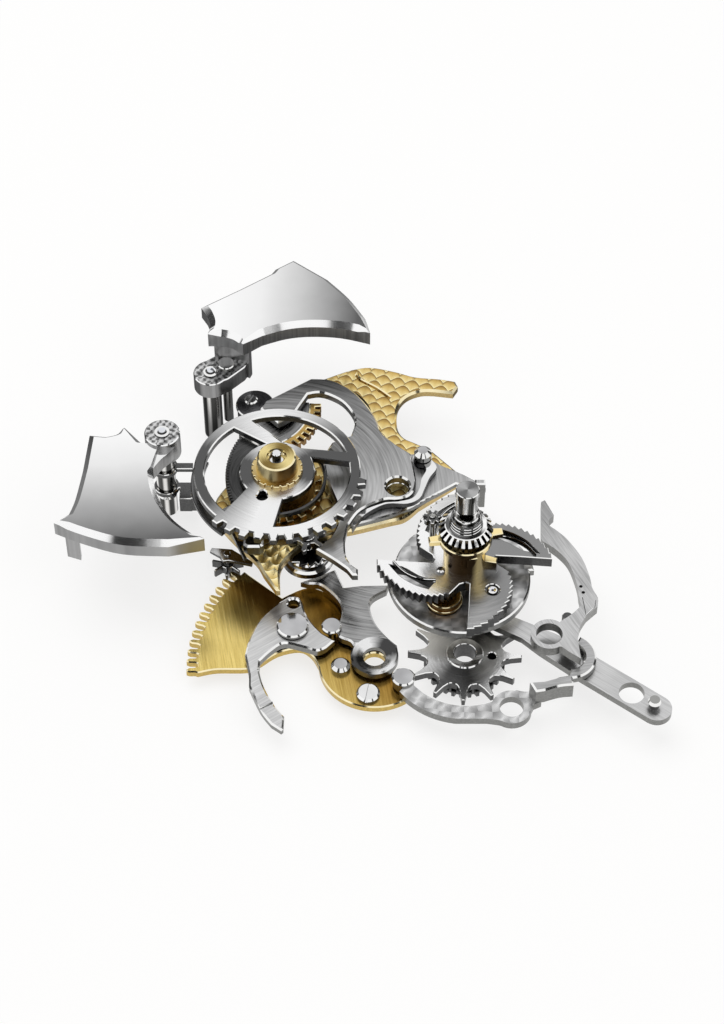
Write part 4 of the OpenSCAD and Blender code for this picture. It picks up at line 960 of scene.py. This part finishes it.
# Star wheel. Twelve long points, turned and brushed, with painted highlights in two quarters of the turn
# and its far half painted darker, on a polished hub, with a darker toothed wheel below it.
star_face = turned("star_wheel_steel", grey(0.1), grey(0.9), axis_of("star_wheel_turn"),
                   rough=0.24, strokes=14, length=2.4, painted_highlight=0.75, bow_turn=-0.25, far=0.8)
star_ring = polished("star_hub_steel", grey(0.9), rough=0.08)
face_off("star_wheel", star_face, steel_edge, dark_steel, chamfer=0.03)
face_off("star_hub", star_ring, steel_edge, dark_steel, chamfer=0.02)
face_off("lower_wheel", dark_steel, dark_steel, dark_steel, chamfer=0.03)


# Jumper lever. A curved steel band with a spotted face and polished bevels that holds the star wheel, with
# a mirror headed pin at its end and a brushed block where the band rises over the strap lever.
jumper_face = spotted("jumper_lever_steel", grey(0.24), grey(0.76),
                      rough=0.26, spots=1.9, depth=0.006, contrast=0.4)
jumper_block = brushed("jumper_block_steel", grey(0.28), grey(0.58), turn=10)
block_right_of = 2.5
face_off("jumper_lever", jumper_face, steel_edge, steel_flank_painted_shade, chamfer=0.07,
         second=(jumper_block, lambda x, y, z: x > block_right_of))
face_off("jumper_pin", pin_mirror, steel_edge, post_steel, chamfer=0.04)


# Ratchet lever and strap lever. Flat hardened levers brushed along their length. The ratchet lever's ring
# and the strap's round eye turn on studs of the movement, and a short pin stands on the strap's round end.
# The ratchet lever is painted darker towards its far end, as painted shade.
ratchet_steel = brushed("ratchet_lever_steel", grey(0.32), grey(0.72), turn=-62, strokes=17, length=1.6,
                        fall=((4.2, -1.5), (3.6, 5.5), grey(0.48)))
strap_steel = brushed("strap_lever_steel", grey(0.4), grey(0.7), turn=-37.5, strokes=17, length=1.8)
face_off("ratchet_lever", ratchet_steel, steel_edge, steel_flank_painted_shade, chamfer=0.07)
face_off("strap_lever", strap_steel, steel_edge, steel_flank_painted_shade, chamfer=0.06)
face_off("strap_pin", post_steel, steel_edge, dark_steel, chamfer=0.03)


# Release lever. A thin lever polished all over, bent round the edge of the bridge and held by a mirror
# headed pin. It and the pin have the same broad chamfer.
release_steel = polished("release_lever_steel", grey(0.85), rough=0.08)
face_off("release_lever", release_steel, steel_edge, dark_steel, chamfer=0.05)
face_off("release_pin", pin_mirror, steel_edge, post_steel, chamfer=0.05)


# White table. The works lie on a sheet of white painted board, large enough to fill the view. To the eye
# and in polished metal it is mostly its own white, and the rest of it takes the shadow of the works.
def flat_sheet(name, wide, deep):
    """A flat rectangular sheet about its own middle, with its sizes in millimetres."""
    mesh = bpy.data.meshes.new(name)
    w, d = wide / 2 * mm, deep / 2 * mm
    mesh.from_pydata([(-w, -d, 0), (w, -d, 0), (w, d, 0), (-w, d, 0)], [], [(0, 1, 2, 3)])
    sheet = bpy.data.objects.new(name, mesh)
    bpy.context.scene.collection.objects.link(sheet)
    return sheet


def blend_paint(sheet, name, share_of, base, over):
    """Paints a sheet with two plain shaders: share_of makes the value that says how much of over lies on
    base."""
    paint = bpy.data.materials.new(name)
    paint.use_nodes = True
    nodes, links = paint.node_tree.nodes, paint.node_tree.links
    nodes.clear()
    out, blend = nodes.new("ShaderNodeOutputMaterial"), nodes.new("ShaderNodeMixShader")
    links.new(share_of(nodes, links), blend.inputs["Fac"])
    for socket, (kind, colour) in zip(blend.inputs[1:], (base, over)):
        shader = nodes.new(kind)
        shader.inputs["Color"].default_value = (*colour, 1)
        links.new(shader.outputs[0], socket)
    links.new(blend.outputs[0], out.inputs["Surface"])
    sheet.data.materials.append(paint)


def seen(nodes, links):
    """1 for what the eye sees itself or in metal and glass, 0 for the light that falls on the works."""
    rays = nodes.new("ShaderNodeLightPath").outputs
    direct = sum_of(nodes, links, "MAXIMUM", rays["Is Camera Ray"], rays["Is Glossy Ray"])
    return sum_of(nodes, links, "MAXIMUM", direct, rays["Is Transmission Ray"])


table_side = 800
table_glow = 0.75
table_board = ("ShaderNodeBsdfDiffuse", grey(0.94))
table_white = ("ShaderNodeEmission", (1, 0.996, 0.99))


def glow_share(nodes, links):
    """How much of the table is its own white: most of it to the eye, none for the light on the works."""
    return sum_of(nodes, links, "MULTIPLY", seen(nodes, links), table_glow)


table = flat_sheet("white_table", table_side, table_side)
blend_paint(table, "white_table_paint", glow_share, table_board, table_white)


# Dark cards. Grey boards stood and hung round the works, that only polished metal shows. Each fades out
# towards its edges, so that the mirror faces and bevels run softly from dark to light.
def hang_card(name, place, size, tilt, tone, fade):
    """One card, with its place and size in millimetres, and its tilt in degrees. fade is the part of its
    width over which each edge fades out."""
    card = flat_sheet(name, *size)
    card.location = [c * mm for c in place]
    card.rotation_euler = [math.radians(a) for a in tilt]

    def solid(nodes, links):
        """How solid the card is: 1 in its middle and 0 at its edges."""
        where = nodes.new("ShaderNodeTexCoord")
        edges = []
        for along in x_and_y(nodes, links, where.outputs["Generated"]):
            soft = nodes.new("ShaderNodeMapRange")
            soft.interpolation_type = "SMOOTHSTEP"
            soft.inputs["From Max"].default_value = fade
            links.new(sum_of(nodes, links, "PINGPONG", along, 0.5), soft.inputs["Value"])
            edges.append(soft.outputs["Result"])
        return sum_of(nodes, links, "MULTIPLY", *edges)
    clear, board = ("ShaderNodeBsdfTransparent", grey(1)), ("ShaderNodeEmission", grey(tone))
    blend_paint(card, name + "_paint", solid, clear, board)
    card.visible_camera = False
    card.visible_diffuse = False
    card.visible_shadow = False
    card.visible_transmission = False


standing = (90, 0, 0)
for name, place, size, tilt, tone, fade in (
        ("card_front_high_left", (-62, -115, 108), (74, 86), standing, 0.03, 0.14),
        ("card_near_left", (-31.7, 23.3, 3), (24, 6), (90, 0, 38.7), 0.04, 0.1),
        ("card_front_high_right", (92, -115, 108), (44, 86), standing, 0.03, 0.1),
        ("card_front_low_left", (-62, -150, 26), (26, 60), standing, 0.03, 0.2),
        ("card_front_low_middle", (-22, -150, 26), (14, 60), standing, 0.03, 0.2),
        ("card_front_low_right", (34, -150, 26), (40, 60), standing, 0.03, 0.2),
        ("card_low_behind", (-12, 17, 0.05), (54, 20), (0, 0, 0), 0.2, 0.1),
        ("card_back_left", (-120, 70, 22), (110, 50), (90, 0, 60), 0.05, 0.15),
        ("card_back_right", (120, 60, 22), (110, 50), (90, 0, -60), 0.05, 0.15)):
    hang_card(name, place, size, tilt, tone, fade)


# Light. A white studio with one broad lamp over the works and a weaker one at the front right. Neither lamp
# shows in the metal, and the room is white to the eye but lights the works less.
room_light = 0.6
sky = bpy.data.worlds.new("studio_white")
bpy.context.scene.world = sky
sky.use_nodes = True
nodes, links = sky.node_tree.nodes, sky.node_tree.links
air = nodes["Background"]
air.inputs["Color"].default_value = (1, 1, 1, 1)
room = sum_of(nodes, links, "MULTIPLY_ADD", seen(nodes, links), 1 - room_light, room_light)
links.new(room, air.inputs["Strength"])

works_middle = mathutils.Vector((-0.004, 0.003, 0.002))
for name, place, size, watts in (
        ("lamp_over", (-40, 40, 180), 160, 0.16),
        ("lamp_front_right", (120, -60, 150), 120, 0.05)):
    lamp = bpy.data.lights.new(name, "AREA")
    lamp.shape = "SQUARE"
    lamp.size = size * mm
    lamp.energy = watts
    holder = bpy.data.objects.new(name, lamp)
    bpy.context.scene.collection.objects.link(holder)
    holder.visible_glossy = False
    holder.location = [c * mm for c in place]
    holder.rotation_euler = (works_middle - holder.location).to_track_quat("-Z", "Y").to_euler()


# Camera. It stands in front of the works and looks down on them from 50 degrees above the table. Its lens
# is given by its focal length in pixels of a frame that is 1024 pixels high.
sensor_height = 24
focal_px = 2600
frame_height_px = 1024
camera_place = (-4.039, -64.47, 82.99)
camera_lean = 40
lens = bpy.data.cameras.new("photo_camera")
lens.sensor_fit = "VERTICAL"
lens.sensor_height = sensor_height
lens.lens = sensor_height * focal_px / frame_height_px
lens.clip_start = 0.005
lens.clip_end = 5
camera = bpy.data.objects.new("photo_camera", lens)
bpy.context.scene.collection.objects.link(camera)
camera.location = [c * mm for c in camera_place]
camera.rotation_euler = (math.radians(camera_lean), 0, 0)
bpy.context.scene.camera = camera
bpy.context.scene.view_settings.view_transform = "Standard"

bpy.context.view_layer.update()
